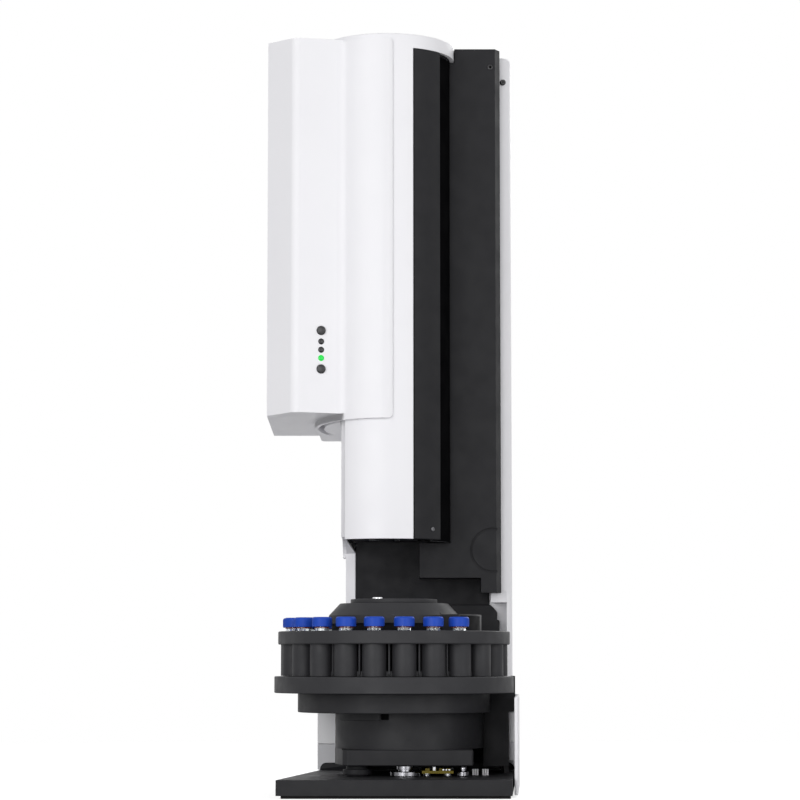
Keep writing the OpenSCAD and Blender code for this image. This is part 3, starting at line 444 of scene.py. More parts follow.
SEPTUM_RED = RubberSkin("septum_red_skin", "septum_red", (0.30, 0.028, 0.02), 0.6, tint=(0.24, 0.02, 0.016))
GROUND_STEEL = WorkedMetal("ground_steel", "steel", (0.60, 0.60, 0.62), 0.22, tint=(0.50, 0.50, 0.52))
TURNED_STEEL = WorkedMetal("turned_steel", "steel", (0.58, 0.58, 0.60), 0.25, brush=Brush.ROUND,
                           tint=(0.48, 0.48, 0.50))
DARK_STEEL = WorkedMetal("dark_steel", "steel", (0.20, 0.20, 0.21), 0.32, brush=Brush.EVEN,
                         tint=(0.14, 0.14, 0.15))
BRIGHT_CHROME = WorkedMetal("bright_chrome", "chrome", (0.80, 0.80, 0.82), 0.08, brush=Brush.ROUND,
                            tint=(0.74, 0.74, 0.76), marks=0.05)
JACK_STEEL = WorkedMetal("jack_steel", "chrome", (0.34, 0.34, 0.36), 0.18, brush=Brush.ROUND,
                         tint=(0.28, 0.28, 0.30), marks=0.08)
TURNED_BRASS = WorkedMetal("turned_brass", "brass", (0.72, 0.53, 0.25), 0.2, brush=Brush.ROUND,
                           tint=(0.62, 0.44, 0.2))
TURNED_ALLOY = WorkedMetal("turned_alloy", "pulley", (0.62, 0.63, 0.65), 0.28, brush=Brush.ROUND,
                           tint=(0.54, 0.55, 0.57))
VIAL_GLASS = ClearGlass("vial_glass_wave", "vial_glass", (0.93, 0.97, 0.98), 0.02)
SYRINGE_GLASS = ClearGlass("syringe_glass_wave", "syringe_glass", (0.95, 0.98, 0.99), 0.02)
DARK_LENS = LampLens("dark_lens", "lamp_dark", (0.018, 0.018, 0.022), 0.2)
GREEN_LENS = LampLens("green_lens", "lamp_green", (0.0, 0.62, 0.06), 0.2, glow=0.55)
GREEN_BOARD = SolderMask("green_board_mask", "board_green", (0.02, 0.14, 0.05), 0.35)
GOLD_BOARD = SolderMask("gold_board_mask", "board_gold", (0.050, 0.039, 0.003), 0.55,
                        copper=(0.13, 0.10, 0.010))


class Shape:
    """A bmesh that is built with operators, in millimetres, and made a piece at the end."""

    def __init__(self) -> None:
        """Start an empty shape."""
        self.bm = bmesh.new()

    @classmethod
    def of_node(cls, node: str) -> "Shape":
        """A merged copy of a node's mesh, with its flat faces whole.

        Args:
            node: The node's name.

        Returns:
            The shape.
        """
        shape = cls()
        shape.bm.from_mesh(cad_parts[node].data)
        bmesh.ops.scale(shape.bm, vec=(1.0 / MM,) * 3, verts=shape.bm.verts)
        bmesh.ops.remove_doubles(shape.bm, verts=shape.bm.verts, dist=NODE_MERGE)
        bmesh.ops.dissolve_limit(shape.bm, angle_limit=math.radians(FLAT_ANGLE), verts=shape.bm.verts,
                                 edges=shape.bm.edges, use_dissolve_boundaries=False)
        return shape

    def everything(self) -> list:
        """All the vertices, edges and faces."""
        return [*self.bm.verts, *self.bm.edges, *self.bm.faces]

    def since(self, before: set[bmesh.types.BMVert]) -> Verts:
        """The vertices that weren't there before."""
        return [v for v in self.bm.verts if v not in before]

    def raised(self, faces: Sequence[bmesh.types.BMFace], by: Point) -> Verts:
        """Extrude faces.

        Args:
            faces: The faces.
            by: How far they are moved.

        Returns:
            The vertices of the moved faces.
        """
        made = bmesh.ops.extrude_face_region(self.bm, geom=list(faces))["geom"]
        top = [v for v in made if isinstance(v, bmesh.types.BMVert)]
        bmesh.ops.translate(self.bm, vec=by, verts=top)
        return top

    def cut(self, height: float, up: float) -> None:
        """Cut off what is above a height, or below it where up is -1."""
        bmesh.ops.bisect_plane(self.bm, geom=self.everything(), plane_co=(0.0, 0.0, height),
                               plane_no=(0.0, 0.0, up), clear_outer=True)

    def cut_closed(self, height: float, up: float) -> None:
        """Cut off a part, and close the cut with faces.

        Args:
            height: The height of the cut.
            up: 1 to cut off what is above, -1 for what is below.
        """
        self.cut(height, up)
        bmesh.ops.triangle_fill(self.bm, edges=[e for e in self.bm.edges if e.is_boundary])
        self.face_out(self.bm.verts)

    def block(self, low: Point, high: Point) -> Verts:
        """Add a block between two corners.

        Args:
            low: The lowest corner.
            high: The highest corner.

        Returns:
            The block's vertices.
        """
        made = bmesh.ops.create_cube(self.bm, size=1.0)["verts"]
        size = Vector(high) - Vector(low)
        bmesh.ops.scale(self.bm, vec=size, verts=made)
        bmesh.ops.translate(self.bm, vec=(Vector(low) + Vector(high)) / 2, verts=made)
        return made

    def lathe(self, profile: Sequence[Pair], at: Point = ORIGIN, steps: int = 48,
              closed: bool = False) -> Verts:
        """Add a shape turned about an upright axis.

        Args:
            profile: Pairs of radius and height, from one end to the other.
            at: The foot of the axis.
            steps: Facets round the axis.
            closed: Whether the profile is a loop that keeps off the axis.

        Returns:
            The shape's vertices.
        """
        before = set(self.bm.verts)
        points = [self.bm.verts.new((at[0] + r, at[1], at[2] + z)) for r, z in profile]
        pairs = list(zip(points, points[1:])) + ([(points[-1], points[0])] if closed else [])
        edges = [self.bm.edges.new(pair) for pair in pairs]
        bmesh.ops.spin(self.bm, geom=points + edges, cent=at, axis=UP, angle=2 * math.pi, steps=steps,
                       use_merge=True)
        bmesh.ops.remove_doubles(self.bm, verts=self.since(before), dist=SPIN_MERGE)
        made = self.since(before)
        self.face_out(made)
        return made

    def tube(self, radii: Pair, low: float, high: float, at: Point, steps: int = 96) -> None:
        """Add a plain upright tube.

        Args:
            radii: The inner and the outer radius.
            low: The lower height.
            high: The upper height.
            at: The foot of the axis.
            steps: Facets round the axis.
        """
        r_in, r_out = radii
        self.lathe([(r_in, low), (r_out, low), (r_out, high), (r_in, high)], at, steps, closed=True)

    def arc_wall(self, r_in: float, r_out: float, z0: float, z1: float, a0: float, a1: float, at: Point,
                 steps: int = 48) -> Verts:
        """Add part of an upright tube, between two angles from the front towards +X.

        Args:
            r_in: The inner radius.
            r_out: The outer radius.
            z0: The lower height.
            z1: The upper height.
            a0: The first angle in degrees.
            a1: The second angle in degrees.
            at: The foot of the axis.
            steps: Facets along the arc.

        Returns:
            The wall's vertices.
        """
        before = set(self.bm.verts)
        points = [self.bm.verts.new((at[0] + r, at[1], z)) for r, z in
                  ((r_in, z0), (r_out, z0), (r_out, z1), (r_in, z1))]
        face = self.bm.faces.new(points)
        turn = Matrix.Rotation(math.radians(a0 - 90.0), 3, "Z")
        bmesh.ops.rotate(self.bm, cent=at, matrix=turn, verts=points)
        bmesh.ops.spin(self.bm, geom=[face] + list(face.edges) + points, cent=at, axis=UP,
                       angle=math.radians(a1 - a0), steps=steps)
        made = self.since(before)
        self.face_out(made)
        return made

    def thread(self, r_root: float, r_top: float, starts: int, lead: float, z0: float, z1: float, at: Point,
               steps: int = 20) -> None:
        """Add a screw thread, cut square at both ends.

        Args:
            r_root: The radius at the root.
            r_top: The radius at the crest.
            starts: Threads side by side.
            lead: The rise of one turn.
            z0: The lower end.
            z1: The upper end.
            at: The foot of the axis.
            steps: Facets to a turn.
        """
        pitch = lead / starts
        turns = int(math.ceil((z1 - z0) / lead)) + 2
        profile = []
        for i in range(starts):
            base = z0 - lead + i * pitch
            profile += [(r_root, base), (r_root, base + 0.25 * pitch), (r_top, base + 0.5 * pitch),
                        (r_top, base + 0.75 * pitch)]
        profile.append((r_root, z0))
        points = [self.bm.verts.new((at[0] + r, at[1], z)) for r, z in profile]
        edges = [self.bm.edges.new(pair) for pair in zip(points, points[1:])]
        bmesh.ops.spin(self.bm, geom=points + edges, cent=(at[0], at[1], 0.0), axis=UP,
                       dvec=(0.0, 0.0, lead / steps), angle=2 * math.pi * turns, steps=steps * turns)
        bmesh.ops.remove_doubles(self.bm, verts=self.bm.verts, dist=THREAD_MERGE)
        for height, up in ((z0, -1.0), (z1, 1.0)):
            self.cut(height, up)
            rim = [e for e in self.bm.edges if e.is_boundary and
                   all(abs(v.co.z - height) < THREAD_MERGE for v in e.verts)]
            bmesh.ops.contextual_create(self.bm, geom=rim)
        self.face_out(self.bm.verts)

    def prism(self, outline: Sequence[Pair], z0: float, z1: float) -> None:
        """Add an upright prism.

        Args:
            outline: Corners of its plan, in order.
            z0: The lower height.
            z1: The upper height.
        """
        before = set(self.bm.verts)
        face = self.bm.faces.new([self.bm.verts.new((x, y, z0)) for x, y in outline])
        self.raised([face], (0.0, 0.0, z1 - z0))
        self.face_out(self.since(before))

    def face_out(self, verts: Iterable[bmesh.types.BMVert]) -> None:
        """Point faces outwards.

        Args:
            verts: The vertices of the faces.
        """
        chosen = set(verts)
        faces = [f for f in self.bm.faces if all(v in chosen for v in f.verts)]
        bmesh.ops.recalc_face_normals(self.bm, faces=faces)

    def soften(self, width: float, segments: int = 2, sharper: float = SOFT_CORNER,
               only: Optional[EdgeTest] = None) -> "Shape":
        """Round the sharp edges.

        Args:
            width: The width of the rounding.
            segments: Facets across the rounding.
            sharper: Edges that turn by more than this many degrees are rounded.
            only: A further test that an edge has to pass.

        Returns:
            The shape itself.
        """
        limit = math.radians(sharper)
        edges = [e for e in self.bm.edges if len(e.link_faces) == 2 and e.calc_face_angle(0.0) > limit
                 and (only is None or only(e))]
        bmesh.ops.bevel(self.bm, geom=edges, offset=width, offset_type="OFFSET", segments=segments,
                        profile=0.5, affect="EDGES", clamp_overlap=True, material=-1)
        return self

    def moved(self, verts: Iterable[bmesh.types.BMVert], matrix: Matrix) -> None:
        """Move vertices by a matrix."""
        bmesh.ops.transform(self.bm, matrix=matrix, verts=list(verts))

    def copies(self, places: Sequence[Matrix]) -> "Shape":
        """Repeat the whole shape at several places, and leave out the first one.

        Args:
            places: A matrix for each place.

        Returns:
            The shape itself.
        """
        first, corners = self.everything(), list(self.bm.verts)
        for place in places:
            made = bmesh.ops.duplicate(self.bm, geom=first)["geom"]
            self.moved([v for v in made if isinstance(v, bmesh.types.BMVert)], place)
        bmesh.ops.delete(self.bm, geom=corners, context="VERTS")
        return self

    def publish(self, name: str, finish: Finish, body: Body, replaces: Sequence[str] = (),
                crease: float = 38.0) -> None:
        """Make the shape a piece of the model.

        Args:
            name: The piece's name.
            finish: The finish it gets.
            body: The body that it rides on.
            replaces: The nodes that it stands for.
            crease: Edges that turn by more than this many degrees stay sharp.
        """
        bmesh.ops.scale(self.bm, vec=(MM,) * 3, verts=self.bm.verts)
        mesh = bpy.data.meshes.new(name)
        self.bm.to_mesh(mesh)
        self.bm.free()
        mesh.polygons.foreach_set("use_smooth", [True] * len(mesh.polygons))
        mesh.set_sharp_from_angle(angle=math.radians(crease))
        mesh.materials.append(finish.material())
        piece = bpy.data.objects.new(name, mesh)
        bpy.context.scene.collection.objects.link(piece)
        even = piece.modifiers.new("even_shading", "WEIGHTED_NORMAL")
        even.keep_sharp = True
        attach(piece, body.value)
        if replaces:
            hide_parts(*replaces)
        log.info("%s: %d faces on %s", name, len(mesh.polygons), body.value)


def coat(finish: Finish, *nodes: str) -> None:
    """Give nodes a finish, as they are.

    Args:
        finish: The finish.
        nodes: The nodes' names.
    """
    for node in nodes:
        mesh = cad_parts[node].data
        mesh.materials.clear()
        mesh.materials.append(finish.material())
        log.info("%s: %s", node, finish.name)


def long_edges(least: float) -> EdgeTest:
    """A test that keeps edges of at least a length.

    Args:
        least: The length in millimetres.

    Returns:
        The test.
    """
    return lambda edge: edge.calc_length() >= least


def dress(node: str, name: str, finish: Finish, width: float, body: Body = Body.FRAME, segments: int = 2,
          sharper: float = CORNER, least: float = 0.0) -> None:
    """Replace a node by a copy of itself with rounded edges.

    Args:
        node: The node's name.
        name: The piece's name.
        finish: The finish it gets.
        width: The width of the rounding.
        body: The body that it rides on.
        segments: Facets across the rounding.
        sharper: Edges that turn by more than this many degrees are rounded.
        least: The length of the shortest edge that is rounded.
    """
    Shape.of_node(node).soften(width, segments, sharper, long_edges(least)).publish(name, finish, body, [node])


def upright(x: float, y: float, z: float) -> Matrix:
    """A move to a place, unturned."""
    return Matrix.Translation((x, y, z))


def facing(place: Point, out: Point) -> Matrix:
    """A place whose own Z points in a direction.

    Args:
        place: The place in millimetres.
        out: The direction.

    Returns:
        The matrix.
    """
    return Matrix.Translation(place) @ Vector(out).to_track_quat("Z", "Y").to_matrix().to_4x4()


@dataclass(frozen=True)
class ScrewHead:
    """A pan-head screw with a hexagon recess, at the origin with its head up."""

    radius: float
    height: float
    recess: float = 0.55
    depth: float = 0.6

    def add_to(self, shape: Shape) -> None:
        """Add the screw to a shape.

        Args:
            shape: The shape, still empty.
        """
        r, h = self.radius, self.height
        made = bmesh.ops.create_circle(shape.bm, cap_ends=True, radius=r, segments=6)["verts"]
        bmesh.ops.scale(shape.bm, vec=(self.recess, self.recess, 1.0), verts=made)
        top = shape.raised(shape.bm.faces, (0.0, 0.0, self.depth))
        bmesh.ops.translate(shape.bm, vec=(0.0, 0.0, h - self.depth), verts=made + top)
        cap = next(f for f in shape.bm.faces if set(f.verts) == set(top))
        bmesh.ops.delete(shape.bm, geom=[cap], context="FACES_ONLY")
        inner = [e for e in shape.bm.edges if all(v in top for v in e.verts)]
        shape.lathe([(r * 0.78, h), (r * 0.93, h * 0.86), (r, h * 0.55), (r, 0.0)], steps=24)
        outer = [e for e in shape.bm.edges if e.is_boundary and all(abs(v.co.z - h) < 1e-4 for v in e.verts)
                 and e not in inner]
        bmesh.ops.bridge_loops(shape.bm, edges=inner + outer)
        bmesh.ops.recalc_face_normals(shape.bm, faces=shape.bm.faces)

    def publish(self, name: str, finish: Finish, body: Body, places: Sequence[Matrix],
                replaces: Sequence[str] = ()) -> None:
        """Make screws a piece of the model.

        Args:
            name: The piece's name.
            finish: The finish they get.
            body: The body that they ride on.
            places: A place for each screw.
            replaces: The nodes that they stand for.
        """
        shape = Shape()
        self.add_to(shape)
        shape.copies(places).publish(name, finish, body, replaces)


@dataclass
class Covers:
    """The white and black covers of the tower and the lower rear."""

    edge: float = 1.4
    screw: ScrewHead = ScrewHead(3.0, 1.1)
    screw_x: Pair = (-21.5, 67.2)
    screw_z: Pair = (71.6, 459.0)
    screw_sunk: float = 1.2
    panel_screw: ScrewHead = ScrewHead(1.7, 0.7, depth=0.5)
    panel_screw_at: Point = (62.8, 36.0, 467.7)
    corner_screw: ScrewHead = ScrewHead(1.9, 2.2, depth=1.2)
    corner_screw_at: Point = (71.8, 56.1, 462.0)
    corner_screw_out: Point = (0.16, -1.0, 0.0)
    door_axis: Pair = (-4.6, 36.0)
    wrap_r: float = 46.5
    wrap_end: float = 4.9
    valley_a: float = -37.0
    front_a: float = 12.8386
    valley_r: float = 9.0
    valley_inset: float = 0.3
    head_z: Pair = (237.3, 476.7)
    front_corner: Pair = (-62.7, -8.0)
    near: float = 0.2
    gusset: tuple[Point, ...] = ((-31.2, 48.0, 159.4), (-31.2, 66.0, 151.0), (-25.3, 66.0, 151.0))
    gusset_wall: Point = (0.0, 0.6, 1.2)
    recess_r: float = 40.4
    recess: Pair = (46.0, 92.0)
    recess_ends: Pair = (32.0, 10.0)
    low_step_z: float = 27.8
    low_step_gap: float = 0.02
    flange_z: Point = (19.0, 49.2, 30.5)
    flange_x: Point = (71.8, 76.2, 76.3)
    flange_y: Pair = (2.0, 3.4)
    flange_gap: float = 0.1
    taper: float = 7.0
    taper_depth: float = 1.7
    taper_cuts: int = 7

    def build(self) -> None:
        """Make the covers' pieces."""
        self.head()
        self.rear()
        dress("side_panel", "side_panel_shell", BLACK_SHELL, width=0.6, sharper=SOFT_CORNER, least=6.0)
        self.recess_shade()
        self.lower_rear()
        dress("right_skirt", "right_skirt_strip", WHITE_SHELL, width=0.7, segments=3, sharper=SOFT_CORNER)
        self.skirt_flange()
        self.screws()

    def head(self) -> None:
        """Make the head cover, with a soft valley where its flat front meets the wrap."""
        shape = Shape.of_node("head_cover")
        end = math.radians(self.wrap_end)
        across = Vector((math.sin(end), -math.cos(end)))

        def wrap_corner(edge: bmesh.types.BMEdge) -> bool:
            """Whether an edge crosses the free end of the wrap."""
            spans = [v.co.xy - Vector(self.door_axis) for v in edge.verts]
            return all(s.dot(across) > 40.0 and abs(s.cross(across)) < self.near for s in spans) and \
                abs(edge.verts[0].co.z - edge.verts[1].co.z) < 1.0

        def facet_edge(edge: bmesh.types.BMEdge) -> bool:
            """Whether an edge stands between the flat front and the left facet."""
            return all((v.co.xy - Vector(self.front_corner)).length < self.near for v in edge.verts)

        def away_from_end(edge: bmesh.types.BMEdge) -> bool:
            """Whether a long edge keeps off the wrap's free end."""
            spot = Vector(self.door_axis) + self.wrap_r * across
            return edge.calc_length() >= 6.0 and any((v.co.xy - spot).length > 4.0 for v in edge.verts)

        shape.soften(3.2, segments=6, sharper=CORNER, only=wrap_corner)
        shape.soften(4.0, segments=8, sharper=30.0, only=facet_edge)
        shape.soften(self.edge, segments=4, only=away_from_end)
        self.thin_wrap(shape)
        shape.prism(self.valley_plan(), self.head_z[0] - 0.3, self.head_z[1] - 1.5)
        shape.publish("head_cover_shell", WHITE_SHELL, Body.FRAME, ["head_cover"])

    def thin_wrap(self, shape: Shape) -> None:
        """Thin the wrap towards its free end, so that its edge lies close over the door.

        Args:
            shape: The head cover.
        """
        centre = Vector((*self.door_axis, 0.0))
        for i in range(1, self.taper_cuts + 1):
            a = math.radians(self.wrap_end) - self.taper * i / self.taper_cuts / self.wrap_r
            out, side = Vector((math.sin(a), -math.cos(a), 0.0)), Vector((math.cos(a), math.sin(a), 0.0))
            near = [f for f in shape.bm.faces if all((v.co - centre).dot(out) > 30.0 for v in f.verts)]
            geom = near + list({e for f in near for e in f.edges}) + list({v for f in near for v in f.verts})
            bmesh.ops.bisect_plane(shape.bm, geom=geom, plane_co=centre, plane_no=side)
        for v in shape.bm.verts:
            flat = v.co - centre
            flat.z = 0.0
            along = math.radians(self.wrap_end) - math.atan2(flat.x, -flat.y)
            share = along * self.wrap_r / self.taper
            if abs(flat.length - self.wrap_r) < 0.3 and -0.2 < share < 1.0:
                v.co -= flat.normalized() * self.taper_depth * (1.0 - max(share, 0.0)) ** 2

    def valley_plan(self, steps: int = 10) -> list[Pair]:
        """The plan of the fillet in the valley beside the wrap.

        Args:
            steps: Facets along its hollow side.

        Returns:
            Its corners.
        """
        centre = Vector(self.door_axis)
        a, f = math.radians(self.valley_a), math.radians(self.front_a)
        valley = centre + self.wrap_r * Vector((math.sin(a), -math.cos(a)))
        along, out = Vector((math.cos(f), math.sin(f))), Vector((math.sin(f), -math.cos(f)))
        start = valley + self.valley_r * out - centre
        half = start.dot(along)
        reach = math.sqrt(half ** 2 - start.length_squared + (self.wrap_r + self.valley_r) ** 2)
        middle = centre + start - (half + reach) * along
        first = -out
        turn = first.angle_signed((centre - middle).normalized())
        points = [middle + self.valley_r * (Matrix.Rotation(-turn * i / steps, 2) @ first)
                  for i in range(steps + 1)]
        inset = self.valley_inset * Vector((0.0, 1.0))
        return [tuple(p) for p in (*points, points[-1] + inset, valley + 3 * inset, points[0] + inset)]

    def rear(self) -> None:
        """Make the rear cover, rounded over at its top right, with the gusset under its left wall."""
        _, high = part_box("rear_cover")
        top, right = high.z / MM, high.x / MM

        def top_right(edge: bmesh.types.BMEdge) -> bool:
            """Whether an edge is at the top right, and not along the back."""
            return all(abs(v.co.z - top) < 0.1 and v.co.x > right - 7.1 for v in edge.verts) and \
                any(v.co.y < 93.0 for v in edge.verts)

        shape = Shape.of_node("rear_cover")
        shape.soften(4.5, segments=6, sharper=CORNER, only=top_right)
        shape.soften(0.7, only=long_edges(8.0))
        corners = [shape.bm.verts.new(p) for p in self.gusset]
        raised = shape.raised([shape.bm.faces.new(corners)], self.gusset_wall)
        shape.face_out(corners + raised)
        shape.publish("rear_cover_shell", WHITE_SHELL, Body.FRAME, ["rear_cover"])

    def lower_rear(self) -> None:
        """Make the lower rear panel in two, parted at the step in its front, paler above the step and darker
        below it.
        """
        for name, finish, up, nodes in (("lower_rear_shell", PALE_SHELL, -1.0, ["lower_rear_panel"]),
                                        ("lower_rear_sill", GREY_SHELL, 1.0, [])):
            shape = Shape.of_node("lower_rear_panel")
            shape.cut_closed(self.low_step_z - self.low_step_gap * up, up)
            shape.soften(0.5, sharper=CORNER, only=long_edges(4.0)).publish(name, finish, Body.FRAME, nodes)

    def skirt_flange(self) -> None:
        """Make the flange that turns in from the right skirt, paler above and darker below, as the rear panel
        is.
        """
        low, high, seam = self.flange_z
        x, near, far = self.flange_x
        front, back = self.flange_y
        plan = [(x, front), (near, front), (far, back), (x, back)]
        for name, finish, z0, z1 in (("skirt_flange_upper", PALE_SHELL, seam, high),
                                     ("skirt_flange_lower", GREY_SHELL, low, seam - self.flange_gap)):
            shape = Shape()
            shape.prism(plan, z0, z1)
            shape.soften(0.2).publish(name, finish, Body.FRAME)

    def recess_shade(self) -> None:
        """Put a near-black sheet in the hollow that the door's edge turns into, as painted shade."""
        low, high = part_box("side_panel")
        below, above = self.recess_ends
        shape = Shape()
        shape.arc_wall(self.recess_r + 0.02, self.recess_r + 0.2, low.z / MM + below, high.z / MM - above,
                       self.recess[0] + 0.5, self.recess[1] - 0.5, (*self.door_axis, 0.0), steps=24)
        shape.publish("recess_shade", SHADE_BLACK, Body.FRAME)

    def screws(self) -> None:
        """Make the heads of the cover screws."""
        _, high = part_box("rear_cover")
        back = high.y / MM - self.screw_sunk
        spots = [facing((x, back, z), BACKWARD) for x in self.screw_x for z in self.screw_z]
        self.screw.publish("back_screw_heads", DARK_STEEL, Body.FRAME, spots, ["cover_screws"])
        self.panel_screw.publish("panel_screw_head", BUTTON_BLACK, Body.FRAME,
                                 [facing(self.panel_screw_at, FORWARD)])
        self.corner_screw.publish("corner_screw_head", BUTTON_BLACK, Body.FRAME,
                                  [facing(self.corner_screw_at, self.corner_screw_out)])


@dataclass
class ControlPanel:
    """Lamps and push-buttons on the sloping front of the head cover."""

    corner: Pair = (-62.7, -8.0)
    slope: float = 12.8386
    along: float = 17.1
    lamp_z: float = 271.8
    lamp_pitch: float = 5.25
    lamp_r: float = 1.9
    button_r: float = 2.7
    button_up: float = 7.0

    def place(self, z: float) -> Matrix:
        """The place of a control, with its own Z pointing out of the cover.

        Args:
            z: Its height.

        Returns:
            The place.
        """
        a = math.radians(self.slope)
        x = self.corner[0] + self.along * math.cos(a)
        y = self.corner[1] + self.along * math.sin(a)
        return facing((x, y, z), (math.sin(a), -math.cos(a), 0.0))

    def build(self) -> None:
        """Make the lamps and the buttons, and coat the board behind them."""
        self.lamps("lit_lamp_lens", GREEN_LENS, [0], "lit_lamp")
        self.lamps("dark_lamp_lenses", DARK_LENS, [1, 2], "dark_lamps")
        top = self.lamp_z + 2 * self.lamp_pitch + self.button_up
        self.button("upper_button_cap", Body.BUTTON_UPPER, top, "upper_button")
        self.button("lower_button_cap", Body.BUTTON_LOWER, self.lamp_z - self.button_up, "lower_button")
        coat(GREEN_BOARD, "status_board")

    def lamps(self, name: str, finish: Finish, rows: Sequence[int], node: str) -> None:
        """Make lamp lenses.

        Args:
            name: The piece's name.
            finish: The lens finish.
            rows: The rows that they stand in, from the lit one up.
            node: The node that they replace.
        """
        r = self.lamp_r
        shape = Shape()
        shape.lathe([(0.0, 0.7), (0.45 * r, 0.64), (0.8 * r, 0.42), (r, 0.1), (r, -2.4), (r + 0.5, -2.4),
                     (r + 0.5, -9.0), (0.0, -9.0)], steps=32)
        shape.copies([self.place(self.lamp_z + i * self.lamp_pitch) for i in rows])
        shape.publish(name, finish, Body.FRAME, [node])

    def button(self, name: str, body: Body, z: float, node: str) -> None:
        """Make one push-button with a dished face.

        Args:
            name: The piece's name.
            body: The body that it rides on.
            z: Its height.
            node: The node that it replaces.
        """
        r = self.button_r
        shape = Shape()
        shape.lathe([(0.0, 0.85), (0.4 * r, 0.9), (0.72 * r, 1.08), (0.88 * r, 1.2), (0.97 * r, 1.08),
                     (r, 0.8), (r, -2.7), (r + 0.9, -2.7), (r + 0.9, -3.9), (1.2, -3.9), (1.2, -7.9),
                     (0.0, -7.9)], steps=40)
        shape.copies([self.place(z)])
        shape.publish(name, BUTTON_BLACK, body, [node])


@dataclass
class RevolvingDoor:
    """The door, its top disc, grip strip and lower arm."""

    axis: Point = (-4.6, 36.0, 0.0)
    r_in: float = 41.0
    r_out: float = 43.5
    z0: float = 157.5
    z1: float = 471.0
    top: float = 480.0
    left_a: float = -37.7
    strip_a: float = 23.0
    seam_a: float = 0.8
    right_a: float = 52.0
    seam_wall: float = 0.9
    seam_inset: float = 0.7
    screw: ScrewHead = ScrewHead(1.3, 0.5, depth=0.3)
    screw_a: float = 42.0
    screw_z: float = 164.0
    screw_sunk: float = 0.1

    def build(self) -> None:
        """Make the door's pieces."""
        shell = Shape()
        shell.arc_wall(self.r_in, self.r_out, self.z0, self.z1, self.left_a, self.strip_a, self.axis, steps=64)
        shell.soften(0.5, sharper=CORNER, only=lambda e: min(v.co.z for v in e.verts) < self.z1 - 0.1)
        shell.publish("door_shell_skin", WHITE_SHELL, Body.DOOR, ["door_shell"])
        self.grip()
        self.disc()
        dress("door_arm", "door_arm_blade", BLACK_COAT, width=0.25, body=Body.DOOR, sharper=SOFT_CORNER)

    def grip(self) -> None:
        """Make the grip strip, with the thin seam beside it and its screw."""
        seam = self.strip_a + self.seam_a
        strip = Shape()
        strip.arc_wall(self.r_in, self.r_out, self.z0, self.z1, seam, self.right_a, self.axis, steps=36)
        strip.soften(0.6, segments=3, sharper=CORNER)
        strip.arc_wall(self.r_in, self.r_in + self.seam_wall, self.z0 + self.seam_inset,
                       self.z1 - self.seam_inset, self.strip_a, seam, self.axis, steps=1)
        strip.publish("grip_strip_skin", BLACK_SHELL, Body.DOOR, ["grip_strip"])
        a = math.radians(self.screw_a)
        out = (math.sin(a), -math.cos(a), 0.0)
        reach = self.r_out - self.screw_sunk
        spot = (self.axis[0] + reach * out[0], self.axis[1] + reach * out[1], self.screw_z)
        self.screw.publish("grip_screw_head", DARK_STEEL, Body.DOOR, [facing(spot, out)])

    def disc(self) -> None:
        """Make the disc on top of the door, with its pivot."""
        h = self.top - self.z1
        r, q = self.r_out, self.r_in
        cap = Shape()
        cap.lathe([(0.0, h), (r - 1.2, h), (r - 0.35, h - 0.35), (r, h - 1.2), (r, 0.0), (q, 0.0),
                   (q, h - 2.4), (6.0, h - 2.4), (6.0, -4.7), (3.0, -4.7), (3.0, -11.0), (0.0, -11.0)],
                  at=(self.axis[0], self.axis[1], self.z1), steps=128)
        cap.publish("door_top_disc", WHITE_SHELL, Body.DOOR, ["door_cap"])


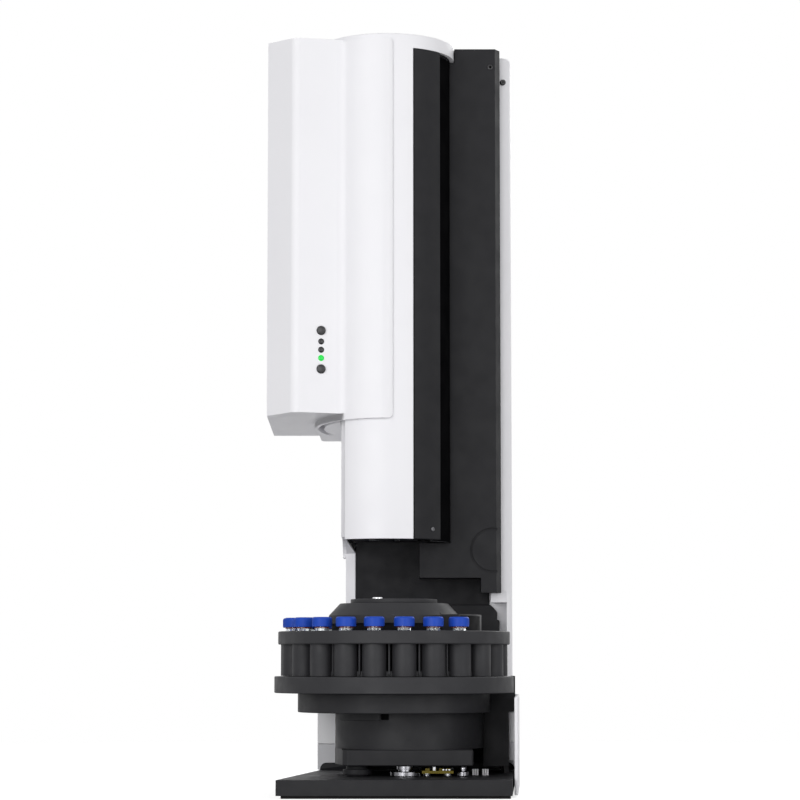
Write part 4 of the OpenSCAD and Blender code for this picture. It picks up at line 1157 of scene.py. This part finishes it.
@dataclass
class VialSet:
    """The vials in the turret, with their caps and septa."""

    axis: Pair = (0.0, -14.0)
    ring_r: float = 63.2
    phase: float = 5.5741
    pitch: float = 360.0 / 22.0
    last: int = -13
    first: int = 2
    vial_z: float = 75.2
    vial_h: float = 31.6
    vial_r: float = 5.8
    neck_r: float = 4.25
    cap_r: float = 6.15
    cap_h: float = 5.9
    ribs: int = 48
    rib_depth: float = 0.22
    twist: float = 2.7

    def places(self, z: float) -> list[Matrix]:
        """A place for each vial, each turned its own way.

        Args:
            z: The height.

        Returns:
            The places.
        """
        spots = []
        for k in range(self.last, self.first + 1):
            a = math.radians(self.phase + k * self.pitch)
            turn = Matrix.Rotation(a * self.twist, 4, "Z")
            spots.append(upright(self.axis[0] + self.ring_r * math.sin(a),
                                 self.axis[1] - self.ring_r * math.cos(a), z) @ turn)
        return spots

    def build(self) -> None:
        """Make the glass, the caps and the septa."""
        self.glass()
        self.caps()
        self.septa()

    def glass(self) -> None:
        """Make the vials, with a shoulder below the neck."""
        r, n, h = self.vial_r, self.neck_r, self.vial_h
        shoulder = h - self.cap_h - 2.2
        shape = Shape()
        shape.lathe([(0.0, 0.0), (r - 0.8, 0.0), (r - 0.2, 0.25), (r, 0.9), (r, shoulder - 3.2),
                     (r - 0.35, shoulder - 1.9), (n + 0.3, shoulder - 0.4), (n, shoulder), (n, shoulder + 0.9),
                     (n, h), (n - 0.9, h), (n - 0.9, shoulder), (r - 0.9, shoulder - 3.4), (r - 0.9, 0.9),
                     (0.0, 0.9)], steps=32)
        shape.copies(self.places(self.vial_z))
        shape.publish("vial_glass_bodies", VIAL_GLASS, Body.TURRET, ["vials"])

    def caps(self) -> None:
        """Make the ribbed screw caps, open in the middle."""
        r, h = self.cap_r, self.cap_h
        shape = Shape()
        shape.lathe([(self.neck_r + 0.05, 0.0), (r - 0.45, 0.0), (r - 0.1, 0.2), (r - 0.1, 0.7), (r, 1.0),
                     (r, h - 1.3), (r - 0.12, h - 0.9), (r - 0.4, h - 0.35), (r - 0.95, h), (2.75, h),
                     (2.6, h - 0.2), (2.6, h - 0.25), (self.neck_r + 0.05, h - 0.25)], steps=2 * self.ribs,
                    closed=True)
        for v in shape.bm.verts:
            radius = math.hypot(v.co.x, v.co.y)
            step = round(math.atan2(v.co.y, v.co.x) / (math.pi / self.ribs))
            if radius > r - 0.05 and step % 2:
                v.co.xy *= (r - self.rib_depth) / radius
        shape.copies(self.places(self.vial_z + self.vial_h + 0.8 - h))
        shape.publish("vial_cap_shells", CAP_BLUE, Body.TURRET, ["vial_caps"], crease=50.0)

    def septa(self) -> None:
        """Make the septa, domed in the middle, with the liner that shows below the cap."""
        n = self.neck_r
        shape = Shape()
        shape.lathe([(0.0, 0.55), (1.6, 0.53), (2.5, 0.45), (n, 0.4), (n, 0.0), (0.0, 0.0)], steps=24)
        shape.lathe([(n + 0.06, -5.75), (n + 0.4, -5.75), (n + 0.45, -5.6), (n + 0.4, -5.45),
                     (n + 0.06, -5.45)], steps=24, closed=True)
        shape.copies(self.places(self.vial_z + self.vial_h + 0.1))
        shape.publish("vial_septum_discs", SEPTUM_RED, Body.TURRET, ["vial_septa"])


@dataclass
class Turret:
    """The turning plate with its wells, its dome and its shaft."""

    axis: Pair = (0.0, -14.0)
    rim: Pair = (91.2, 99.3)
    rim_r: float = 72.0
    shaft_r: float = 8.02
    bore_r: float = 6.3
    rib: Point = (0.6, 0.8, 2.0)
    rib_z: float = 72.9
    dome_top: float = 119.3
    groove_r: Pair = (38.5, 38.75)
    skirt_r: Pair = (54.4, 55.5)
    shoulder_r: float = 54.42
    shoulder_h: float = 10.2
    shoulder_a: Pair = (48.0, 76.0)
    groove_z: Pair = (0.3, 4.4)
    shoulder_ends: Pair = (0.5, 0.9)
    screw: ScrewHead = ScrewHead(3.2, 1.1)
    screw_at: Pair = (-10.0, -28.0)
    vials: VialSet = field(default_factory=VialSet)

    def build(self) -> None:
        """Make the turret's pieces."""
        self.rim_plate()
        self.wells()
        dress("hub_dome", "hub_dome_cover", TURRET_BLACK,
              width=0.6, body=Body.TURRET, sharper=SOFT_CORNER, least=1.0)
        dress("dome_cap", "dome_cap_disc", TURRET_BLACK, width=0.5, body=Body.TURRET, segments=3)
        coat(TURNED_STEEL, "turret_shaft")
        coat(TURNED_ALLOY, "turret_pulley")
        self.screw.publish("dome_screw_head", BRIGHT_CHROME, Body.TURRET,
                           [upright(*self.screw_at, self.dome_top)], ["dome_screw"])
        self.shade_bands()
        self.vials.build()

    def shade_bands(self) -> None:
        """Make near-black bands in the dome's groove and on its shoulder, and a near-black sheet behind the
        wells, all painted shade.
        """
        z = self.rim[1]
        at = (*self.axis, 0.0)
        # Painted shade: the groove and the shoulder's side away from the light, made near-black.
        bands = Shape()
        bands.tube(self.groove_r, z + self.groove_z[0], z + self.groove_z[1], at)
        below, above = self.shoulder_ends
        bands.arc_wall(self.shoulder_r, self.shoulder_r + 0.15, z + below, z + self.shoulder_h - above,
                       *self.shoulder_a, at, steps=24)
        bands.publish("dome_shade_bands", BAND_SHADE_BLACK, Body.TURRET)
        # Painted shade: a near-black sheet behind the wells, where the gaps between them lie in shade.
        gap_shade = Shape()
        gap_shade.tube(self.skirt_r, self.rib_z + 0.4, self.rim[0], at)
        gap_shade.publish("well_gap_shade", SHADE_BLACK, Body.TURRET)

    def rim_plate(self) -> None:
        """Make the rim in one ring, with a bore over every position."""
        z0, z1 = self.rim
        centre = upright(*self.axis, z0)
        shape = Shape()
        for r, n in ((self.rim_r, 176), (self.shaft_r, 48)):
            bmesh.ops.create_circle(shape.bm, radius=r, segments=n, matrix=centre)
        count = round(360.0 / self.vials.pitch)
        for k in range(count):
            turn = Matrix.Rotation(math.radians(self.vials.phase + k * self.vials.pitch), 4, "Z")
            bmesh.ops.create_circle(shape.bm, radius=self.bore_r, segments=32,
                                    matrix=centre @ turn @ upright(0.0, -self.vials.ring_r, 0.0))
        bmesh.ops.triangle_fill(shape.bm, use_beauty=True, edges=shape.bm.edges)
        shape.raised(shape.bm.faces, (0.0, 0.0, z1 - z0))
        shape.face_out(shape.bm.verts)

        def outer(edge: bmesh.types.BMEdge) -> bool:
            """Whether an edge is on the outside of the rim."""
            return all((v.co.xy - Vector(self.axis)).length > self.rim_r - 0.2 for v in edge.verts)

        shape.soften(0.8, segments=4, sharper=CORNER, only=outer)
        shape.soften(0.35, sharper=CORNER)
        shape.publish("turret_rim_plate", TURRET_BLACK, Body.TURRET, ["turret_rim"])

    def wells(self) -> None:
        """Make the wells under the rim, with a rib between each two that are open."""
        def outside(edge: bmesh.types.BMEdge) -> bool:
            """Whether an edge is long, and an outside corner."""
            return edge.is_convex and edge.calc_length() >= 3.0

        filled = Shape.of_node("filled_wells").soften(0.3, sharper=CORNER, only=outside)
        filled.publish("filled_well_cups", TURRET_BLACK, Body.TURRET, ["filled_wells"])
        cups = Shape.of_node("open_wells")
        top = self.rim[0] - 0.05
        cups.cut_closed(top, 1.0)
        half, out, back = self.rib
        middle, reach = upright(*self.axis, 0.0), self.vials.ring_r
        for k in range(self.vials.first, self.vials.last + round(360.0 / self.vials.pitch)):
            made = cups.block((-half, -reach - out, self.rib_z), (half, -reach + back, top))
            turn = math.radians(self.vials.phase + (k + 0.5) * self.vials.pitch)
            cups.moved(made, middle @ Matrix.Rotation(turn, 4, "Z"))
        cups.soften(0.3, sharper=CORNER, only=outside)
        cups.publish("open_well_cups", TURRET_BLACK, Body.TURRET, ["open_wells"])


@dataclass
class TurretSupport:
    """The fixed rings, drum and stand that carry the turret."""

    drum_at: Pair = (9.6, -7.8)
    drum_r: float = 46.2
    tab_z: Pair = (44.8, 49.4)
    tab: Point = (-66.0, -22.5, -16.0)

    def build(self) -> None:
        """Make the support's pieces."""
        dress("base_ring", "base_ring_body", TURRET_BLACK, width=0.6, segments=3)
        dress("turret_collar", "collar_body", DRUM_BLACK, width=0.6, segments=3)
        dress("drum_foot", "drum_foot_body", DRUM_BLACK, width=0.7, segments=3)
        dress("side_stand", "side_stand_body", BLACK_SHELL, width=0.5, segments=3)
        dress("rear_guard", "rear_guard_body", BLACK_SHELL, width=0.7, segments=3)
        dress("drum_housing", "drum_housing_body", DRUM_BLACK, width=0.5, least=0.9)
        self.drum_tab()
        coat(TURNED_STEEL, "turret_bearings")
        coat(MOTOR_GREY, "turret_motor")
        coat(FOOT_RUBBER, "drive_belt")
        coat(TURNED_ALLOY, "motor_pulley")

    def drum_tab(self) -> None:
        """Make the tab below the collar, and a near-black patch beside it, painted shade in place of a notch.
        """
        at = (*self.drum_at, 0.0)
        inner = self.drum_r - 0.1
        low, high = self.tab_z
        first, last, notch = self.tab
        tab = Shape()
        tab.arc_wall(inner, self.drum_r + 1.5, low, high, first, last, at, steps=24)
        tab.soften(0.4, segments=3, sharper=CORNER).publish("drum_tab", DRUM_BLACK, Body.FRAME)
        # Painted shade: a near-black patch on the drum where a notch would lie in shade.
        dark = Shape()
        dark.arc_wall(inner, self.drum_r + 0.12, low + 0.6, high, last + 0.4, notch, at, steps=8)
        dark.publish("drum_notch_shade", SHADE_BLACK, Body.FRAME)


@dataclass
class Base:
    """The base plate, its feet and what shows in the gap under the drum."""

    plate_top: float = 11.2
    jacks_at: tuple[Point, ...] = ((6.7, -44.0, 9.2), (42.0, -46.0, 3.4))
    board_low: Point = (17.0, -52.0, 14.8)
    chips: tuple[Pair, ...] = ((5.0, 7.0), (4.0, 4.0), (6.0, 6.0))
    pins: tuple[Point, ...] = ((6.6, 1.6, 2.4), (12.4, 1.0, 1.0), (14.2, 1.0, 1.0), (16.0, 1.0, 1.0))
    plugs_x: Pair = (48.0, 54.2)
    plugs_y: Pair = (-30.0, -26.0)
    plug_pitch: float = 1.35
    plug_w: float = 1.1
    plug_h: float = 3.8
    part_edge: float = 0.15

    def build(self) -> None:
        """Make the base's pieces."""
        dress("base_plate", "base_plate_body", BASE_COAT, width=0.9, segments=3, least=3.0)
        dress("rubber_feet", "rubber_foot_pads", FOOT_RUBBER, width=0.35, sharper=SOFT_CORNER)
        dress("drum_posts", "drum_post_rollers", BLACK_COAT, width=0.5, segments=3)
        coat(GOLD_BOARD, "control_board")
        coat(TURNED_ALLOY, "board_standoffs")
        self.jacks()
        self.board_parts()

    def jacks(self) -> None:
        """Make the levelling screws: a turned disc below a collar."""
        shape = Shape()
        for x, y, r in self.jacks_at:
            shape.lathe([(0.0, 0.0), (r - 0.5, 0.0), (r, 0.5), (r, 2.7), (r - 0.5, 3.2), (0.45 * r, 3.3),
                         (0.45 * r, 4.2), (0.55 * r, 4.3), (0.55 * r, 6.2), (0.48 * r, 6.6), (0.0, 6.6)],
                        (x, y, self.plate_top), steps=60)
        shape.publish("levelling_jacks", JACK_STEEL, Body.FRAME, ["levelling_screws"])

    def board_parts(self) -> None:
        """Make the small parts on the control board and the plugs behind it."""
        x0, y0, z0 = self.board_low
        chips = Shape()
        for i, (w, d) in enumerate(self.chips):
            x, y = x0 + 3.0 + 5.2 * i, y0 + 16.0 + 5.0 * (i % 2)
            chips.block((x, y, z0), (x + w, y + d, z0 + 1.2))
        chips.soften(self.part_edge).publish("board_chips", SOCKET_BLACK, Body.FRAME)
        pins = Shape()
        for x, w, h in self.pins:
            pins.block((x0 + x, y0 + 0.8, z0), (x0 + x + w, y0 + 2.2, z0 + h))
        pins.soften(self.part_edge).publish("board_pins", TURNED_ALLOY, Body.FRAME)
        plugs = Shape()
        (front, back), low = self.plugs_y, self.plate_top
        for x in (start + self.plug_pitch * i for start in self.plugs_x for i in range(3)):
            plugs.block((x, front, low), (x + self.plug_w, back, low + self.plug_h))
        plugs.soften(self.part_edge).publish("wire_plugs", PALE_SHELL, Body.FRAME)


@dataclass
class RearSocket:
    """The control socket in the back, with its contacts."""

    middle: Point = (22.0, 88.0, 96.6)
    pitch: float = 2.77
    row: float = 2.84

    def build(self) -> None:
        """Make the socket's pieces."""
        dress("rear_socket", "rear_socket_shell", SOCKET_BLACK, width=0.4, sharper=SOFT_CORNER)
        shape = Shape()
        x, y, z = self.middle
        for count, up in ((8, 0.5), (7, -0.5)):
            for i in range(count):
                px = x + (i - (count - 1) / 2) * self.pitch
                made = shape.lathe([(0.0, 4.4), (0.3, 4.2), (0.5, 3.8), (0.5, 0.0), (0.0, 0.0)], steps=12)
                shape.moved(made, facing((px, y, z + up * self.row), BACKWARD))
        shape.publish("socket_contacts", TURNED_BRASS, Body.FRAME)


@dataclass
class SyringeDrive:
    """The lift, the syringe and the plunger drive behind the door."""

    needle: Pair = (-6.139, 48.901)
    rod_y: float = 59.0
    screw_dx: float = 9.0
    barrel: Pair = (212.5, 272.5)
    barrel_r: float = 3.3
    motor: Pair = (440.0, 460.0)
    motor_r: float = 11.0
    marks: int = 21
    mark_start: float = 8.0
    mark_pitch: float = 2.2
    mark_reach: Pair = (62.0, 34.0)

    def build(self) -> None:
        """Make the drive's pieces."""
        dress("hinge_arms", "hinge_arm_pair", BLACK_COAT, width=0.4, least=2.0)
        dress("rod_blocks", "rod_block_pair", BLACK_COAT, width=0.5, least=2.0)
        dress("carriage_block", "carriage_body", BLACK_COAT, width=0.4, body=Body.CARRIAGE, least=2.0)
        dress("plunger_carrier", "plunger_carrier_body", BLACK_COAT,
              width=0.4, body=Body.PLUNGER, least=2.0)
        dress("chassis_plate", "chassis_sheet", BLACK_COAT, width=0.4, least=3.0)
        dress("needle_foot", "needle_foot_body", BUTTON_BLACK, width=0.25, body=Body.FOOT_GUIDE, least=3.0)
        dress("syringe_latch", "syringe_latch_arm", GROUND_STEEL, width=0.3, body=Body.LATCH, least=1.0)
        dress("thumb_screw", "clamp_knob_body", BUTTON_BLACK, width=0.2, body=Body.CLAMP_KNOB)
        coat(GROUND_STEEL, "guide_rods", "needle", "syringe_plunger")
        coat(TURNED_BRASS, "carriage_nut")
        self.screws()
        self.syringe()
        self.motors()

    def screws(self) -> None:
        """Make the threads of both lead screws."""
        low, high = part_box("carriage_screw")
        lift = Shape()
        lift.thread(2.45, 3.0, starts=5, lead=20.0, z0=low.z / MM, z1=high.z / MM,
                    at=(self.needle[0] + self.screw_dx, self.rod_y, 0.0))
        lift.publish("lift_screw_thread", TURNED_STEEL, Body.LIFT_SCREW, ["carriage_screw"])
        low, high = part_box("plunger_screw")
        fine = Shape()
        fine.thread(1.2, 1.5, starts=4, lead=8.0, z0=low.z / MM, z1=high.z / MM,
                    at=(self.needle[0], (low.y + high.y) / 2 / MM, 0.0))
        fine.publish("metering_screw_thread", TURNED_STEEL, Body.METERING_SCREW, ["plunger_screw"])

    def syringe(self) -> None:
        """Make the glass barrel and the marks on it."""
        z0, z1 = self.barrel
        r, h = self.barrel_r, z1 - z0
        at = (self.needle[0], self.needle[1], z0)
        tube = Shape()
        tube.lathe([(0.75, 0.0), (r - 0.2, 0.0), (r, 0.2), (r, h - 0.5), (r + 0.4, h), (r + 2.4, h),
                    (r + 2.7, h + 0.3), (r + 2.7, h + 1.7), (r + 2.4, h + 2.0), (1.0, h + 2.0),
                    (0.75, h + 1.7)], at, steps=40, closed=True)
        tube.publish("syringe_glass_tube", SYRINGE_GLASS, Body.CARRIAGE, ["syringe_barrel"])
        marks = Shape()
        for i in range(self.marks):
            z = z0 + self.mark_start + self.mark_pitch * i
            reach = self.mark_reach[0] if i % 5 == 0 else self.mark_reach[1]
            marks.arc_wall(r + 0.01, r + 0.03, z, z + 0.3, -reach, 10.0, at, steps=12)
        marks.publish("syringe_marks", SOCKET_BLACK, Body.CARRIAGE)

    def motors(self) -> None:
        """Make the lift motor and the plunger motor."""
        z0, z1 = self.motor
        r, h = self.motor_r, z1 - z0
        lift = Shape()
        lift.lathe([(0.0, 0.0), (r - 0.6, 0.0), (r, 0.6), (r, 4.5), (r - 0.5, 4.8), (r - 0.5, h - 4.8),
                    (r, h - 4.5), (r, h - 0.6), (r - 0.6, h), (0.0, h)],
                   (self.needle[0] + self.screw_dx, self.rod_y, z0), steps=64)
        lift.publish("lift_motor_can", MOTOR_GREY, Body.FRAME, ["carriage_motor"])
        dress("plunger_motor", "plunger_motor_case", MOTOR_GREY,
              width=0.8, body=Body.CARRIAGE, segments=3, sharper=SOFT_CORNER)


@dataclass(frozen=True)
class Lamp:
    """A soft square lamp, with its place and side in metres and its power in watts."""

    name: str
    place: Point
    size: float
    power: float


LAMPS = (Lamp("key", (-1.2, -2.0, 0.65), 1.4, 16.0), Lamp("fill", (1.4, -1.8, 0.45), 1.4, 14.5),
         Lamp("low", (-0.55, -2.3, 0.1), 0.9, 9.0), Lamp("back", (0.9, 1.5, 1.2), 1.2, 11.0))


@dataclass
class Studio:
    """The floor, the lamps and the camera."""

    camera_at: Point = (0.0, -1614.0, 82.1)
    tilt: float = 4.71
    lens: float = 115.4
    sensor: float = 36.0
    shift: Pair = (0.0075, 0.06)
    clip: Pair = (0.05, 60.0)
    aim: Point = (0.0, 0.0, 0.22)
    sky_light: float = 0.42
    sky_shown: float = 1.0
    floor_r: float = 1.6
    floor_greys: tuple[Colour, Colour] = ((0.60, 0.60, 0.60), (0.63, 0.63, 0.63))
    floor_lift: float = 0.72
    floor_fade: Pair = (0.3, 1.0)

    def build(self) -> None:
        """Make the studio."""
        self.floor()
        self.sky()
        for lamp in LAMPS:
            self.lamp(lamp)
        self.camera()
        bpy.context.scene.view_settings.view_transform = "Standard"

    def camera(self) -> None:
        """Make the camera at the photograph's angle."""
        data = bpy.data.cameras.new("camera")
        data.lens, data.sensor_width = self.lens, self.sensor
        data.shift_x, data.shift_y = self.shift
        data.clip_start, data.clip_end = self.clip
        eye = bpy.data.objects.new("camera", data)
        eye.location = Vector(self.camera_at) * MM
        eye.rotation_euler = (math.radians(90.0 + self.tilt), 0.0, 0.0)
        bpy.context.scene.collection.objects.link(eye)
        bpy.context.scene.camera = eye

    def lamp(self, lamp: Lamp) -> None:
        """Make a lamp, aimed at the middle of the object.

        Args:
            lamp: The lamp.
        """
        data = bpy.data.lights.new(lamp.name, "AREA")
        data.energy, data.size = lamp.power, lamp.size
        light = bpy.data.objects.new(lamp.name, data)
        light.location = lamp.place
        light.rotation_euler = (Vector(self.aim) - Vector(lamp.place)).to_track_quat("-Z", "Y").to_euler()
        bpy.context.scene.collection.objects.link(light)

    def sky(self) -> None:
        """Make the even white surroundings, brighter to the eye than as a light."""
        world = bpy.data.worlds.new("surroundings")
        bpy.context.scene.world = world
        world.use_nodes = True
        tree = NodeTree(world.node_tree)
        ground = world.node_tree.nodes["Background"]
        ground.inputs["Color"].default_value = (1.0, 1.0, 1.0, 1.0)
        rays = tree.node("LightPath").outputs
        seen = tree.greatest(rays["Is Camera Ray"], rays["Is Transmission Ray"])
        shown = tree.greatest(seen, rays["Is Glossy Ray"])
        values = {"To Min": self.sky_light, "To Max": self.sky_shown}
        strength = tree.node("MapRange", values, {"Value": shown})
        tree.tree.links.new(strength.outputs["Result"], ground.inputs["Strength"])

    def floor(self) -> None:
        """Make a pale floor that fades into the surroundings."""
        bm = bmesh.new()
        bmesh.ops.create_circle(bm, cap_ends=True, radius=self.floor_r, segments=96)
        mesh = bpy.data.meshes.new("floor")
        bm.to_mesh(mesh)
        bm.free()
        recipe = Recipe("floor_paper")
        recipe.feed(recipe.mixed(recipe.noise(40.0, 3.0), *self.floor_greys), "Base Color")
        recipe.set(Roughness=0.9)
        camera = recipe.node("LightPath").outputs["Is Camera Ray"]
        lift = recipe.node("Math", {1: self.floor_lift}, {0: camera})
        lift.operation = "MULTIPLY"
        glow = recipe.node("Emission", links={"Strength": lift.outputs[0]}).outputs["Emission"]
        both = recipe.node("AddShader", links={0: recipe.shader.outputs["BSDF"], 1: glow}).outputs[0]
        reach = recipe.node("VectorMath", links={0: recipe.coords})
        reach.operation = "LENGTH"
        fade = recipe.ranged(reach.outputs["Value"], 0.0, 1.0, *self.floor_fade)
        clear = recipe.node("BsdfTransparent").outputs[0]
        blend = recipe.node("MixShader", links={0: fade, 1: both, 2: clear}).outputs[0]
        recipe.tree.links.new(blend, recipe.output.inputs["Surface"])
        mesh.materials.append(recipe.material)
        floor = bpy.data.objects.new("floor", mesh)
        bpy.context.scene.collection.objects.link(floor)


def main() -> None:
    """Build the sub-assemblies in order."""
    logging.basicConfig(level=logging.INFO, format="%(name)s %(message)s")
    Studio().build()
    for assembly in (Covers(), ControlPanel(), RevolvingDoor(), Turret(), TurretSupport(), Base(), RearSocket(),
                     SyringeDrive()):
        log.info("building %s", type(assembly).__name__)
        assembly.build()


if __name__ == "__main__":
    main()
